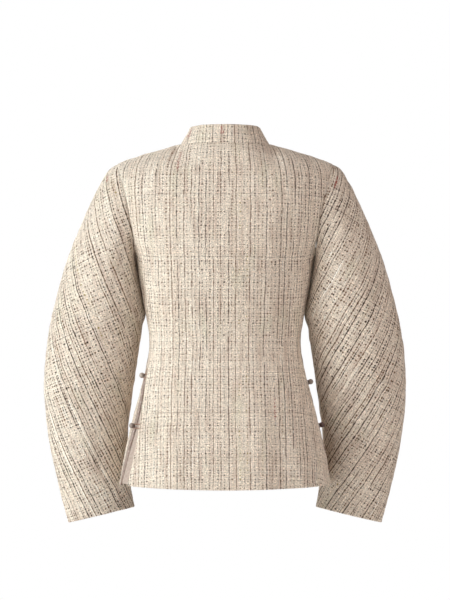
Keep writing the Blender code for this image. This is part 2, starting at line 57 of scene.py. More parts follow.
bodyForm = {
    "squareness": 2.3, "sideLineY": -2.0,
    "probe": {"level": 0.05, "angle": 0.5},  # half steps over which slopes are taken
    # rings from the hem up to the underarm
    "ringColumns": ("sideZ", "backZ", "frontZ", "halfWidth", "backY", "frontY",
                    "edgeLeft", "gapLeft", "edgeRight", "gapRight"),
    "rings": (
        (-580.0, -587.5, -586.5, 179.5, 118.0, -128.0, 63.5, 32.0, 86.0, 8.0),
        (-529.0, -532.0, -532.0, 171.0, 110.0, -122.0, 61.0, 21.0, 85.0, 6.0),
        (-467.0, -467.0, -467.0, 156.5, 98.0, -114.0, 63.0, 7.0, 84.5, 3.6),
        (-417.0, -417.0, -417.0, 143.0, 89.0, -108.0, 70.0, 3.0, 85.5, 2.2),
        (-376.0, -376.0, -376.0, 133.0, 83.0, -104.0, 78.0, 1.2, 88.0, 1.0),
        (-345.0, -345.0, -345.0, 128.5, 81.0, -104.0, 88.0, 0.35, 90.0, 0.35),
        (-314.0, -314.0, -314.0, 131.0, 83.0, -108.0, 90.0, 0.35, 90.0, 0.35),
        (-280.0, -280.0, -280.0, 137.0, 88.0, -116.0, 90.0, 0.35, 90.0, 0.35),
        (-233.0, -233.0, -233.0, 146.0, 96.0, -125.0, 90.0, 0.35, 90.0, 0.35),
        (-196.0, -196.0, -196.0, 152.5, 102.0, -124.0, 90.0, 0.35, 90.0, 0.35),
    ),
    "ventTop": 5.0,  # the ring at which the side vents close
    # flutes at the hem: side, angle, width, depth, top level
    "flutes": (
        (leftSide, 17.0, 7.0, -2.0, 5.0),
        (leftSide, 27.5, 8.0, 3.0, 5.5),
        (leftSide, 138.0, 9.0, 3.0, 4.5),
        (leftSide, 156.0, 8.0, -2.0, 4.0),
        (rightSide, 20.0, 7.5, 2.5, 5.5),
        (rightSide, 32.5, 7.0, -2.5, 5.0),
        (rightSide, 46.0, 8.0, 3.0, 4.0),
        (rightSide, 133.0, 9.0, 3.5, 4.5),
        (rightSide, 152.0, 8.0, -2.0, 5.0),
    ),
    # sections between the armholes
    "yokeColumns": ("armholeAngle", "backZ", "backY", "frontZ", "frontY"),
    "yoke": (
        (159.0, -188.0, 103.0, -190.0, -123.0),
        (138.0, -170.0, 104.5, -176.0, -120.0),
        (117.0, -146.0, 105.0, -158.0, -115.0),
        (96.0, -118.0, 103.0, -138.0, -109.0),
        (75.0, -90.0, 98.5, -119.0, -102.5),
        (54.0, -63.0, 91.0, -102.0, -96.0),
    ),
    "neckHalfWidth": 76.5, "neckBackY": 60.0, "neckFrontY": -74.0,
    "neckFrontDrop": 50.0, "neckSideDrop": 2.0,
    "neckLean": 0.6, "neckRise": 0.8, "neckSideRise": 0.45,
    "shoulderTip": (184.0, -2.0, -36.0), "shoulderRounding": 4.0,
    "neckShare": 0.5,  # part of a panel's top that is neck edge
    "corner": (4 / 12, 7 / 12),  # where the cloth turns from the neck's way to the shoulder's
    "tangentStep": 0.25,
    "underarm": (152.5, -2.0, -196.0), "armholeDepth": {backFace: 58.0, frontFace: 52.0},
    "armholeBow": 5.0,
}
sleeveForm = {
    "columns": ("outerX", "outerZ", "innerX", "innerZ", "middleY", "backDepth", "frontDepth", "bow"),
    "rings": (
        (184.0, -36.0, 152.5, -196.0, -2.0, 58.0, 52.0, 5.0),
        (197.5, -46.0, 153.4, -207.0, -3.0, 60.0, 56.0, 4.0),
        (212.0, -69.0, 150.6, -219.0, -4.0, 63.0, 60.0, 2.0),
        (226.5, -98.0, 148.0, -232.0, -6.0, 65.0, 64.0, 0.0),
        (244.0, -137.0, 145.2, -248.0, -8.0, 67.0, 67.0, 0.0),
        (264.0, -186.0, 141.9, -267.0, -11.0, 68.0, 69.0, 0.0),
        (281.0, -239.0, 139.6, -290.0, -15.0, 68.0, 70.0, 0.0),
        (295.0, -294.0, 141.0, -315.0, -21.0, 67.0, 69.0, 0.0),
        (304.0, -347.0, 146.0, -349.0, -28.0, 65.0, 67.0, 0.0),
        (308.5, -400.0, 153.0, -394.0, -37.0, 62.0, 64.0, 0.0),
        (307.0, -452.0, 159.5, -442.0, -47.0, 58.0, 60.0, 0.0),
        (300.5, -507.0, 165.5, -490.0, -58.0, 54.0, 56.0, 0.0),
        (290.5, -558.0, 166.5, -533.0, -69.0, 50.0, 52.0, 0.0),
        (279.5, -605.0, 161.5, -580.0, -80.0, 46.0, 48.0, 0.0),
        (268.0, -648.0, 155.0, -621.0, -89.0, 43.0, 45.0, 0.0),
    ),
    "startLevel": 0.015,
}
collarForm = {
    "topHalfWidth": 59.0, "topY": {backFace: 48.0, frontFace: -58.0},
    "topZ": {backFace: 31.5, frontFace: -17.0}, "topSideZ": 25.0,
    "power": {backFace: 0.6, frontFace: 1.0}, "hollow": 0.8,
}


def unit(vectors):
    return vectors / np.linalg.norm(vectors, axis=-1, keepdims=True)


def ease(part):
    return part * part * (3.0 - 2.0 * part)


def softStep(low, high, value):
    return ease(np.clip((value - low) / (high - low), 0.0, 1.0))


def curveBetween(start, startSlope, end, endSlope, part):
    return ((2 * part**3 - 3 * part**2 + 1) * start + (part**3 - 2 * part**2 + part) * startSlope
            + (3 * part**2 - 2 * part**3) * end + (part**3 - part**2) * endSlope)


def alongTable(values, position):
    # value at a fractional row, on a curve through the rows
    last = len(values) - 1
    position = np.clip(np.asarray(position, float), 0.0, float(last))
    row = np.minimum(position.astype(int), last - 1)
    shape = position.shape + (1,) * (values.ndim - 1)
    before, start, end, after = (values[np.clip(row + shift, 0, last)] for shift in (-1, 0, 1, 2))
    startSlope = (end - before) / np.where(row > 0, 2.0, 1.0).reshape(shape)
    endSlope = (after - start) / np.where(row + 2 <= last, 2.0, 1.0).reshape(shape)
    return curveBetween(start, startSlope, end, endSlope, (position - row).reshape(shape))


def tableColumns(columns, rows):
    return dict(zip(columns, np.array(rows).T))


ring = tableColumns(bodyForm["ringColumns"], bodyForm["rings"])
yokeRing = tableColumns(bodyForm["yokeColumns"], bodyForm["yoke"])
sleeveRing = tableColumns(sleeveForm["columns"], sleeveForm["rings"])
centre = {name: np.concatenate([ring[name], yokeRing[name]]) for name in ("backZ", "backY", "frontZ", "frontY")}
armholeAngles = np.concatenate([[180.0], yokeRing["armholeAngle"]])
sideLineY = bodyForm["sideLineY"]
underarmLevel = len(bodyForm["rings"]) - 1
yokeLevel = underarmLevel + len(bodyForm["yoke"])
topLevel = yokeLevel + 1
cuffLevel = len(sleeveForm["rings"]) - 1


def ringRadius(turn):
    power = bodyForm["squareness"]
    return (abs(np.sin(turn)) ** power + abs(np.cos(turn)) ** power) ** (-1.0 / power)


def armholePoint(side, face, angle):
    turn = np.radians(angle)
    x, z = ((tip + under) / 2 + (tip - under) / 2 * np.cos(turn)
            for tip, under in zip(bodyForm["shoulderTip"][::2], bodyForm["underarm"][::2]))
    x = x - bodyForm["armholeBow"] * np.sin(turn) ** 2
    return np.stack([side * x, sideLineY + face * bodyForm["armholeDepth"][face] * np.sin(turn), z], axis=-1)


def fluteRise(side, level, angle):
    return sum(depth * ease(np.clip(1.0 - np.maximum(level, 0.0) / top, 0.0, 1.0))
               * np.exp(-((angle - middle) / width) ** 2)
               for fluteSide, middle, width, depth, top in bodyForm["flutes"] if fluteSide == side)


def bodyPoint(side, level, angle):
    # ring point below the underarm: angle 0 at the back, 180 at the front
    level, angle = np.broadcast_arrays(np.asarray(level, float), np.asarray(angle, float))
    turn = np.radians(angle)
    edge, centreZ = (np.where(np.cos(turn) > 0, *(alongTable(centre[face + axis], level) for face in ("back", "front")))
                     for axis in "YZ")
    radius, rise = ringRadius(turn), fluteRise(side, level, angle)
    sideZ = alongTable(ring["sideZ"], level)
    return np.stack([side * (alongTable(ring["halfWidth"], level) * radius + rise) * np.sin(turn),
                     sideLineY + (abs(edge - sideLineY) * radius + rise) * np.cos(turn),
                     sideZ + (centreZ - sideZ) * np.cos(turn) ** 2], axis=-1)


def bodyStep(side, level, angle):
    half = bodyForm["probe"]["angle"]
    return bodyPoint(side, level, angle + half) - bodyPoint(side, level, angle - half)


def bodyNormal(side, level, angle):
    half = bodyForm["probe"]["level"]
    along = bodyPoint(side, level + half, angle) - bodyPoint(side, level - half, angle)
    return unit(np.cross(along, bodyStep(side, level, angle)) * side)


def arcAngle(side, level, angle, distance):
    # the angle that lies a distance further round
    return angle + distance / np.linalg.norm(bodyStep(side, level, angle), axis=-1)


def ventEdges(side, level):
    # angles where the back panel ends and where the front panel starts
    name = sideNames[side].capitalize()
    backEdge = alongTable(ring["edge" + name], level)
    gap = np.maximum(alongTable(ring["gap" + name], level), openRoom)
    gap = np.where(np.asarray(level) < bodyForm["ventTop"], gap, seamRoom)
    middle = arcAngle(side, level, backEdge, gap / 2)
    return backEdge, arcAngle(side, level, middle, gap / 2)


def levelAtHeight(side, height, angle):
    low, high = 0.0, float(underarmLevel)
    while high - low > 1e-6:
        middle = (low + high) / 2
        low, high = (middle, high) if bodyPoint(side, middle, angle)[2] < height else (low, middle)
    return low


def yokeRows(side, face, levels, parts):
    # rows across one half, between the armholes
    end = armholePoint(side, face, alongTable(armholeAngles, levels - underarmLevel))
    depth = alongTable(centre[faceNames[face] + "Y"], levels) - sideLineY
    centreZ = alongTable(centre[faceNames[face] + "Z"], levels)
    power = bodyForm["squareness"]
    depthPart = np.clip((end[:, 1] - sideLineY) / depth, 0.0, 1.0)
    widthPart = (1.0 - depthPart**power) ** (1.0 / power)
    turn = np.arctan2(widthPart, depthPart)[:, None] * parts[None]
    radius = ringRadius(turn)
    return np.stack([(end[:, 0] / widthPart)[:, None] * radius * np.sin(turn),
                     sideLineY + depth[:, None] * radius * np.cos(turn),
                     centreZ[:, None] + (end[:, 2] - centreZ)[:, None] * ease(parts)[None]], axis=-1)


def neckPoint(side, face, turn):
    form, turn = bodyForm, np.radians(turn)
    part, drop = np.cos(turn), form["neckSideDrop"]
    x = side * form["neckHalfWidth"] * np.sin(turn)
    if face == backFace:
        return np.stack([x, form["neckBackY"] * part, drop * (part - 1.0)], axis=-1)
    return np.stack([x, form["neckFrontY"] * part, -drop - (form["neckFrontDrop"] - drop) * part], axis=-1)


def topEdge(side, face, parts):
    # neck edge and shoulder seam as one row, and the way the cloth runs into them
    form = bodyForm
    share, tip, rounding = form["neckShare"], form["shoulderTip"], form["shoulderRounding"]
    turn = 90.0 * np.minimum(parts / share, 1.0)
    seam = np.clip((parts - share) / (1.0 - share), 0.0, 1.0)[:, None]
    start = np.array([side * form["neckHalfWidth"], 0.0, -form["neckSideDrop"]])
    end = np.array([side * tip[0], tip[1], tip[2] + rounding])
    shoulder = start + (end - start) * seam - np.array([0.0, 0.0, rounding]) * seam**4
    points = np.where((parts <= share)[:, None], neckPoint(side, face, turn), shoulder)
    sine, cosine = np.sin(np.radians(turn)), np.cos(np.radians(turn))
    rise = form["neckRise"] + (form["neckSideRise"] - form["neckRise"]) * sine
    neckWay = np.stack([-side * form["neckLean"] * sine, -face * form["neckLean"] * cosine, rise], axis=-1)
    toShoulder = softStep(*form["corner"], parts)[:, None]
    return points, neckWay * (1.0 - toShoulder) + np.array([0.0, -face, 0.0]) * toShoulder


def topRows(side, face, rowParts, parts):
    # from the yoke line up and over to the neck edge and shoulder seam; each row's end is
    # drawn to the armhole
    reached = np.append(parts, 1.0)
    yoke, below = (yokeRows(side, face, np.array([level]), reached)[0]
                   for level in (float(yokeLevel), yokeLevel - bodyForm["tangentStep"]))
    points, ways = topEdge(side, face, reached)
    reach = np.linalg.norm(points - yoke, axis=-1, keepdims=True)
    rows = []
    for part in rowParts:
        line = curveBetween(yoke, unit(yoke - below) * reach, points, unit(ways) * reach, part)
        miss = armholePoint(side, face, armholeAngles[-1] * (1.0 - part)) - line[-1]
        rows.append(line[:-1] + miss * (parts**3)[:, None])
    return np.array(rows)


def halfPanel(side, face, levels, parts):
    # one half of the back, or one front: a row for each level, from the hem to the top
    lower = levels[levels < underarmLevel]
    yoke = levels[(levels >= underarmLevel) & (levels <= yokeLevel)]
    backEdge, frontEdge = ventEdges(side, lower)
    middle, edge = (0.0, backEdge) if face == backFace else (180.0, frontEdge)
    angles = middle + (edge - middle)[:, None] * parts[None]
    return np.concatenate([bodyPoint(side, lower[:, None], angles), yokeRows(side, face, yoke, parts),
                           topRows(side, face, levels[levels > yokeLevel] - yokeLevel, parts)])


def sleevePoint(side, level, angle):
    # 0 on the outer curve, 90 at the back, 180 inside
    level, angle = np.broadcast_arrays(np.asarray(level, float), np.asarray(angle, float))
    at = {name: alongTable(column, level) for name, column in sleeveRing.items()}
    turn = np.radians(angle)
    depth = np.where(np.sin(turn) > 0, at["backDepth"], at["frontDepth"])
    middleX, middleZ = (at["outerX"] + at["innerX"]) / 2, (at["outerZ"] + at["innerZ"]) / 2
    x = middleX + (at["outerX"] - middleX) * np.cos(turn) - at["bow"] * np.sin(turn) ** 2
    return np.stack([side * x, at["middleY"] + depth * np.sin(turn),
                     middleZ + (at["outerZ"] - middleZ) * np.cos(turn)], axis=-1)


def collarPoints(turns, rises):
    # points from the neck edge to the collar's top, at turns from the middle of the back
    form, columns = collarForm, []
    for turn in turns:
        side = leftSide if turn >= 0 else rightSide
        turn = abs(turn)
        face = backFace if turn <= 90.0 else frontFace
        base = neckPoint(side, face, turn if face == backFace else 180.0 - turn)
        part = abs(math.cos(math.radians(turn)))
        top = np.array([side * form["topHalfWidth"] * math.sin(math.radians(turn)), form["topY"][face] * part,
                        form["topSideZ"] + (form["topZ"][face] - form["topSideZ"]) * part ** form["power"][face]])
        base = base + unit(top - base) * seamRoom
        outward = unit(base * (1.0, 1.0, 0.0))
        columns.append(base + (top - base) * rises[:, None]
                       - outward * (form["hollow"] * np.sin(np.pi * rises))[:, None])
    return np.array(columns).transpose(1, 0, 2)


def gridQuads(index):
    corners = index[:-1, :-1], index[:-1, 1:], index[1:, 1:], index[1:, :-1]
    return np.stack(corners, -1).reshape(-1, 4)


def startLayout(grid):
    # rows of true length, one above the other; a place on flat cloth is a complex number
    along, across = (np.linalg.norm(np.diff(grid, axis=axis), axis=2) for axis in (0, 1))
    flat, middle, heading = [], 0.0, 0.0
    for row, widths in enumerate(across):
        reach = np.concatenate([[0.0], np.cumsum(widths)])
        reach -= reach[-1] / 2
        flat.append(middle + reach * np.exp(1j * heading))
        if row < len(along):
            turn = (along[row, -1] - along[row, 0]) / (reach[-1] - reach[0])
            middle = middle + along[row].mean() * 1j * np.exp(1j * (heading + turn / 2))
            heading += turn
    return np.array(flat)


def flattenPanel(grid, rounds=60, leastWeight=0.02):
    # laid flat with its true lengths: each triangle turns to fit, then all join up again
    rows, columns = grid.shape[:2]
    quads = gridQuads(np.arange(rows * columns).reshape(rows, columns))
    triangles = np.concatenate([quads[:, corners] for corners in ((0, 1, 2), (0, 2, 3), (0, 1, 3), (1, 2, 3))])
    points = grid.reshape(-1, 3)
    first, second = (points[triangles[:, corner]] - points[triangles[:, 0]] for corner in (1, 2))
    length = np.linalg.norm(first, axis=1)
    along = (first * second).sum(1) / length
    height = np.sqrt(np.maximum((second**2).sum(1) - along**2, 1e-12))
    shape = [0.0 * length, length, along + 1j * height]
    stiffness, sides = np.zeros((len(points), len(points))), []
    for corner in range(3):
        after, opposite = (corner + 1) % 3, shape[corner - 1]
        i, j = triangles[:, corner], triangles[:, after]
        angle = (shape[corner] - opposite) * np.conj(shape[after] - opposite)
        weight = np.maximum(angle.real / np.abs(angle.imag), leastWeight)
        sides.append((i, j, weight, shape[corner] - shape[after]))
        for row, column, sign in ((i, i, 1), (j, j, 1), (i, j, -1), (j, i, -1)):
            np.add.at(stiffness, (row, column), sign * weight)
    stiffness[0, 0] += 1.0
    inverse = np.linalg.inv(stiffness).astype(complex)
    flat = startLayout(grid).ravel()
    for turnNumber in range(rounds):
        fit = sum(weight * (flat[i] - flat[j]) * np.conj(real) for i, j, weight, real in sides)
        fit /= np.abs(fit)
        pull = np.zeros(len(points), complex)
        for i, j, weight, real in sides:
            np.add.at(pull, i, weight * fit * real)
            np.add.at(pull, j, -weight * fit * real)
        flat = inverse @ pull
    return np.stack([flat.real, flat.imag], -1).reshape(rows, columns, 2)


def turnFlat(flat, upward):
    # turned so that the direction given points up
    angle = math.pi / 2 - math.atan2(upward[1], upward[0])
    return flat @ np.array([[math.cos(angle), math.sin(angle)], [-math.sin(angle), math.cos(angle)]])


def spreadFlat(flat, rowPlaces, columnPlaces):
    # the flat pattern read between its points, at fractional rows and columns
    return alongTable(alongTable(flat, rowPlaces).transpose(1, 0, 2), columnPlaces).transpose(1, 0, 2)


clothRelief = {
    "seamDip": 0.75, "seamWidth": 2.1,  # how far the cloth turns in at a seam
    "edgeRoll": 0.3, "edgeRollAt": 3.0, "edgeRollWidth": 2.2,
    # rounding of the outer and the inner rim: share of the wall, and what is left of it
    "rimShares": (0.75, 0.25), "rimRest": (0.05, 0.03),
    "lumps": 0.32, "lumpLength": 41.6, "lumpWaves": 14,
    "hemEdge": (32.0, 35.0), "hemThickness": 0.7, "hemSlope": 0.5,  # the turned-up hem
    "trimSoft": 1.5,  # over how much the taupe band, darkened as painted shade, fades out, each way
    "creaseFade": (-3.0, 20.0),  # creases die away over this distance from a border
    "wander": 0.35, "wanderWaves": 2.4, "wanderShift": 1.7,  # how far and how often a crease strays
    "ridge": 0.9,  # how much the cloth rises beside it
    "creaseEnds": (0.25, 0.08, 0.8),  # depth at its ends, where they lie on the arc, bluntness
    "seamLines": (0.5, 1.2, 2.3), "freeLines": (0.12, 0.4, 0.9, 1.8, 3.2),
    "lineLimit": 0.8,  # share of the first row within which lines are added
}
lumpRandom = np.random.default_rng(41)
lumpWaves = [(lumpRandom.normal(size=2), lumpRandom.uniform(0, 2 * math.pi))
             for wave in range(clothRelief["lumpWaves"])]


def addLines(sheet, axis, distances):
    # finer lines beside the first and the last line of an axis
    sheet = np.moveaxis(sheet, axis, 0)
    for end in range(2):
        length = np.linalg.norm(sheet[1][:, :3] - sheet[0][:, :3], axis=-1).mean()
        lines = [sheet[0] + (sheet[1] - sheet[0]) * distance / length for distance in distances
                 if distance < clothRelief["lineLimit"] * length]
        sheet = np.concatenate([sheet[:1], np.array(lines), sheet[1:]])[::-1]
    return np.moveaxis(sheet, 0, axis)


def lineReach(points, axis):
    # distance of each point from the first and from the last line of an axis
    step = np.linalg.norm(np.diff(points, axis=axis), axis=-1)
    zero = np.zeros_like(np.take(step, [0], axis=axis))
    reach = np.concatenate([zero, np.cumsum(step, axis=axis)], axis=axis)
    return reach, np.take(reach, [-1], axis=axis) - reach


def flatSpot(sheet, level, part):
    # the place on the flat cloth at a level and a part of the panel
    lines = sheet[:, 0, 5], sheet[0, :, 6]
    row, column = (float(np.interp(at, line, np.arange(len(line)))) for at, line in zip((level, part), lines))
    low, left = int(min(row, len(lines[0]) - 2)), int(min(column, len(lines[1]) - 2))
    up, right = row - low, column - left
    return np.einsum("i,j,ijk->k", (1 - up, up), (1 - right, right), sheet[low:low + 2, left:left + 2, 3:5])


def creaseRise(sheet, creases):
    # soft troughs and ridges: start level and part, end level and part, width, depth
    relief, rise = clothRelief, np.zeros(sheet.shape[:2])
    endDepth, endPlace, bluntness = relief["creaseEnds"]
    for number, (*start, endLevel, endPart, width, depth) in enumerate(creases):
        start, end = flatSpot(sheet, *start), flatSpot(sheet, endLevel, endPart)
        length = np.linalg.norm(end - start)
        way = (end - start) / length
        along, sideways = np.moveaxis((sheet[..., 3:5] - start) @ np.array([way, (-way[1], way[0])]).T, -1, 0)
        part = np.clip(along / length, 0.0, 1.0)
        turn = relief["wanderWaves"] * math.pi * part + number * relief["wanderShift"]
        sideways = sideways - relief["wander"] * width * np.sin(turn)
        beyond = along - np.clip(along, 0.0, length)
        distance = (sideways**2 + beyond**2) / width**2
        arc = np.sin(math.pi * (endPlace + (1.0 - 2.0 * endPlace) * part))
        fade = endDepth + (1.0 - endDepth) * arc**bluntness
        rise += depth * fade * (1.0 - relief["ridge"] * distance) * np.exp(-distance)
    return rise


def lumpRise(flat):
    waves = sum(np.sin(flat @ way / clothRelief["lumpLength"] * 2 * math.pi + phase) for way, phase in lumpWaves)
    return clothRelief["lumps"] * waves / math.sqrt(len(lumpWaves) / 2)


def roundOff(distance, radius):
    # how far a rounded edge falls back at a distance from it
    inside = np.clip(radius - distance, 0.0, radius)
    return radius - np.sqrt(np.maximum(radius**2 - inside**2, 0.0))


def newObject(name, data):
    item = bpy.data.objects.new(name, data)
    bpy.context.scene.collection.objects.link(item)
    return item


def addPiece(name, mesh, material, nodes):
    piece = newObject(name, mesh)
    mesh.materials.clear()
    mesh.materials.append(material)
    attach(piece, "root")
    if nodes:
        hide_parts(*nodes)
    return piece


def newMesh(name, points, faces, attribute, values):
    # a smooth mesh of points in millimetres, with a value at each point
    mesh = bpy.data.meshes.new(name)
    mesh.from_pydata((points * millimetre).tolist(), [], faces)
    mesh.attributes.new(attribute, "FLOAT", "POINT").data.foreach_set("value", values.astype(np.float32))
    mesh.update()
    mesh.shade_smooth()
    mesh.set_sharp_from_angle(angle=sharpAngle)
    return mesh


def shellMesh(name, outer, inner, flat, facingOut, trimmed):
    # both faces of the cloth and the rim that joins them
    rows, columns = outer.shape[:2]
    count = rows * columns
    index = np.arange(count).reshape(rows, columns)
    border = np.concatenate([index[0], index[1:, -1], index[-1, -2::-1], index[-2:0:-1, 0]])
    after = np.roll(border, -1)
    faces = np.concatenate([gridQuads(index), gridQuads(index)[:, ::-1] + count,
                            np.stack([after, border, border + count, after + count], -1)])
    if facingOut:
        faces = faces[:, ::-1]
    mesh = newMesh(name, np.concatenate([outer, inner]).reshape(-1, 3), faces.tolist(), "trim",
                   np.tile(trimmed.ravel(), 2))
    places = np.tile(flat.reshape(-1, 2), (2, 1)) * millimetre
    corners = np.empty(len(mesh.loops), dtype=np.int32)
    mesh.loops.foreach_get("vertex_index", corners)
    mesh.uv_layers.new(name="clothPlace").data.foreach_set("uv", places[corners].astype(np.float32).ravel())
    return mesh


def makeShell(name, points, flat, levels, parts, edges, creases=(), wall=wallThickness, lumpy=1.0, hem=None,
              dips=None, trim=0.0):
    # a closed wall of cloth: its outer face is the grid, raised and dipped; edges gives how
    # open each side is, 0 for a seam and 1 for a free edge
    relief = clothRelief
    sheet = np.concatenate([points, flat, np.stack(np.meshgrid(levels, parts, indexing="ij"), -1)], axis=-1)
    for axis, pair in ((0, ("first", "last")), (1, ("start", "end"))):
        free = max(np.max(edges[edge]) for edge in pair) > 0.5
        sheet = addLines(sheet, axis, relief["freeLines" if free else "seamLines"])
    points, flat, level, part = sheet[..., :3], sheet[..., 3:5], sheet[..., 5], sheet[..., 6]
    normals = unit(np.cross(np.gradient(points, axis=1), np.gradient(points, axis=0)))
    middle = points.shape[0] // 2, points.shape[1] // 2
    facingOut = np.dot(normals[middle], points[middle] - edges["inside"]) > 0
    if not facingOut:
        normals = -normals

    along, across = lineReach(points, 0), lineReach(points, 1)
    distances = {"first": along[0], "last": along[1], "start": across[0], "end": across[1]}
    radii = [share * wall for share in relief["rimShares"]]
    drops = [0.0, 0.0]
    rise = lumpy * lumpRise(flat)
    fold = creaseRise(sheet, creases)
    trimmed = np.zeros(level.shape)
    for edge, distance in distances.items():
        free = np.interp(level, levels, np.broadcast_to(edges[edge], len(levels)))
        drops = [np.maximum(drop, free * roundOff(distance, radius)) for drop, radius in zip(drops, radii)]
        dip = relief["seamDip"] * (dips(edge, level, part) if dips else 1.0)
        rise = rise - (1.0 - free) * dip * np.exp(-((distance / relief["seamWidth"]) ** 2))
        roll = (distance - relief["edgeRollAt"]) / relief["edgeRollWidth"]
        rise = rise + free * relief["edgeRoll"] * np.exp(-(roll**2))
        if edge != hem:
            fold = fold * softStep(*relief["creaseFade"], distance)
        # the taupe band along the vent's front edge: taupe cloth colour, darkened further as painted shade
        if trim and edge == "end":
            soft = relief["trimSoft"]
            trimmed = free * (1.0 - softStep(trim - soft, trim + soft, distance))
    thickness = wall
    if hem:
        folded = 1.0 - softStep(*relief["hemEdge"], distances[hem])
        thickness = np.minimum(wall + relief["hemThickness"] * folded, wall + distances[hem] * relief["hemSlope"])
    outer = points + normals * (fold + rise)[..., None]
    drops = [np.minimum(drop, radius - rest) for drop, radius, rest in zip(drops, radii, relief["rimRest"])]
    inner = outer - normals * (thickness - drops[1])[..., None]
    outer = outer - normals * drops[0][..., None]
    return shellMesh(name, outer, inner, flat, facingOut, trimmed), outer, flat


def linearShade(red, green, blue):
    values = (value / 255.0 for value in (red, green, blue))
    return (*(value / 12.92 if value <= 0.04045 else ((value + 0.055) / 1.055) ** 2.4 for value in values), 1.0)


def addNode(tree, kind, inputs=None, **settings):
    node = tree.nodes.new(kind)
    for name, value in settings.items():
        setattr(node, name, value)
    for key, value in (inputs or {}).items():
        feed(node.inputs[key], value)
    return node


def feed(socket, value):
    # a socket linked to another node's output, or set to a fixed value
    value = getattr(value, "socket", value)
    if isinstance(value, bpy.types.NodeSocket):
        socket.id_data.links.new(value, socket)
    else:
        socket.default_value = value


def follow(kind, values, output=0, **settings):
    # an output of a new node, in the tree that its values come from
    values = values if isinstance(values, dict) else dict(enumerate(values))
    tree = next(value.socket.id_data for value in values.values() if isinstance(value, nodeValue))
    return nodeValue(addNode(tree, kind, values, **settings).outputs[output])


def work(operation, *values):
    return follow("ShaderNodeMath", values, operation=operation)


def sumOf(operation, swapped=False):
    return lambda *values: work(operation, *(values[::-1] if swapped else values))


class nodeValue:
    # a node's output, which adds and multiplies as a number does
    def __init__(self, socket):
        self.socket = socket

    __add__, __radd__ = sumOf("ADD"), sumOf("ADD")
    __sub__, __rsub__ = sumOf("SUBTRACT"), sumOf("SUBTRACT", swapped=True)
    __mul__, __rmul__ = sumOf("MULTIPLY"), sumOf("MULTIPLY")
    __truediv__, __mod__, __pow__ = sumOf("DIVIDE"), sumOf("FLOORED_MODULO"), sumOf("POWER")
    __lt__, __gt__, __abs__ = sumOf("LESS_THAN"), sumOf("GREATER_THAN"), sumOf("ABSOLUTE")


def source(tree, kind, output, **settings):
    return nodeValue(addNode(tree, kind, **settings).outputs[output])


def split(kind, value):
    return [nodeValue(socket) for socket in addNode(value.socket.id_data, kind, {0: value}).outputs]


def largest(first, *others):
    for other in others:
        first = work("MAXIMUM", first, other)
    return first


def step(value, low, high, start=0.0, end=1.0):
    return follow("ShaderNodeMapRange", (value, low, high, start, end), interpolation_type="SMOOTHSTEP")


def blend(factor, first, second):
    return follow("ShaderNodeMix", {0: factor, 6: first, 7: second}, 2, data_type="RGBA")


def lerp(factor, first, second):
    return follow("ShaderNodeMix", {0: factor, 2: first, 3: second}, data_type="FLOAT")


def joined(*values):
    return follow("ShaderNodeCombineXYZ", values)


def noise(place, scale, detail=1.0, rough=0.5):
    return follow("ShaderNodeTexNoise", {"Vector": place, "Scale": scale, "Detail": detail, "Roughness": rough})


def longNoise(across, along, seed, detail=1.0):
    return noise(joined(across, along, seed), 1.0, detail)


def chance(*numbers):
    # three random values for whole numbers
    return split("ShaderNodeSeparateColor", follow("ShaderNodeTexWhiteNoise", {"Vector": joined(*numbers)}, 1))


def newTree(kind, name, inputs, outputs):
    # a node tree with named inputs and outputs
    tree = bpy.data.node_groups.new(name, kind)
    for way, sockets in (("INPUT", inputs), ("OUTPUT", outputs)):
        for label, sort, *value in sockets:
            socket = tree.interface.new_socket(label, in_out=way, socket_type="NodeSocket" + sort)
            if value:
                socket.default_value = value[0]
    given = {socket.name: nodeValue(socket) for socket in tree.nodes.new("NodeGroupInput").outputs if socket.name}
    return tree, given, tree.nodes.new("NodeGroupOutput").inputs


tweedYarns = {
    "warpPitch": 0.00172, "weftPitch": 0.00184, "waver": (0.0036, 0.0030), "crimp": 0.0014,
    "darkWeftPitch": 0.0054, "fleckPitch": 0.0117,
    "lineShare": 0.76, "lineWidth": 0.00070, "rowShare": 0.08, "rowWidth": 0.00052, "rowStrength": 0.55,
    "nubShare": 0.66, "nubSize": (0.00120, 0.00140), "rowNubSize": (0.00130, 0.001196),
    "fleckShare": 0.30, "fleckWidth": 0.00062, "fleckNubShare": 0.60, "fleckNubSize": (0.0010, 0.0014),
    "scales": {  # of the noise in each of them, per metre; two numbers are across and along
        "waver": (26.0, 42.0), "crimp": 330.0, "bands": (120.0, 14.0), "sage": (40.0, 12.0), "fibre": 1500.0,
        "mottle": 480.0, "gaps": 75.0, "swells": 260.0, "beads": 620.0, "ochre": 16.0, "rustNubs": 400.0,
    },
    "swing": {"warp": 15.0, "weft": 52.0, "fleck": 30.0},  # how often a yarn comes to the face, per metre
    "shownFrom": {"warp": 0.45, "weft": 0.39, "fleck": 0.62},  # higher shows less of them
    # rust-flecked places of the cut cloth: across, along, half width, half length
    "rustSpots": ((0.314, 0.577, 0.0030, 0.032), (2.186, 0.040, 0.0050, 0.012),
                  (2.1205, 0.040, 0.0035, 0.009), (2.455, 0.632, 0.0030, 0.010),
                  (3.123, 0.555, 0.0028, 0.016), (0.146, 0.140, 0.0022, 0.026)),
}
# the band colour along each vent's front edge is taupe cloth darkened as painted shade
tweedShades = {name: linearShade(*shade) for name, shade in {
    "cream": (247, 233, 216), "beige": (233, 214, 195), "taupe": (204, 178, 160), "sage": (218, 211, 186),
    "dark": (54, 33, 20), "brown": (102, 72, 48), "rust": (142, 70, 60), "ochre": (150, 130, 80),
    "white": (253, 248, 238), "trim": (161, 140, 131)}.items()}


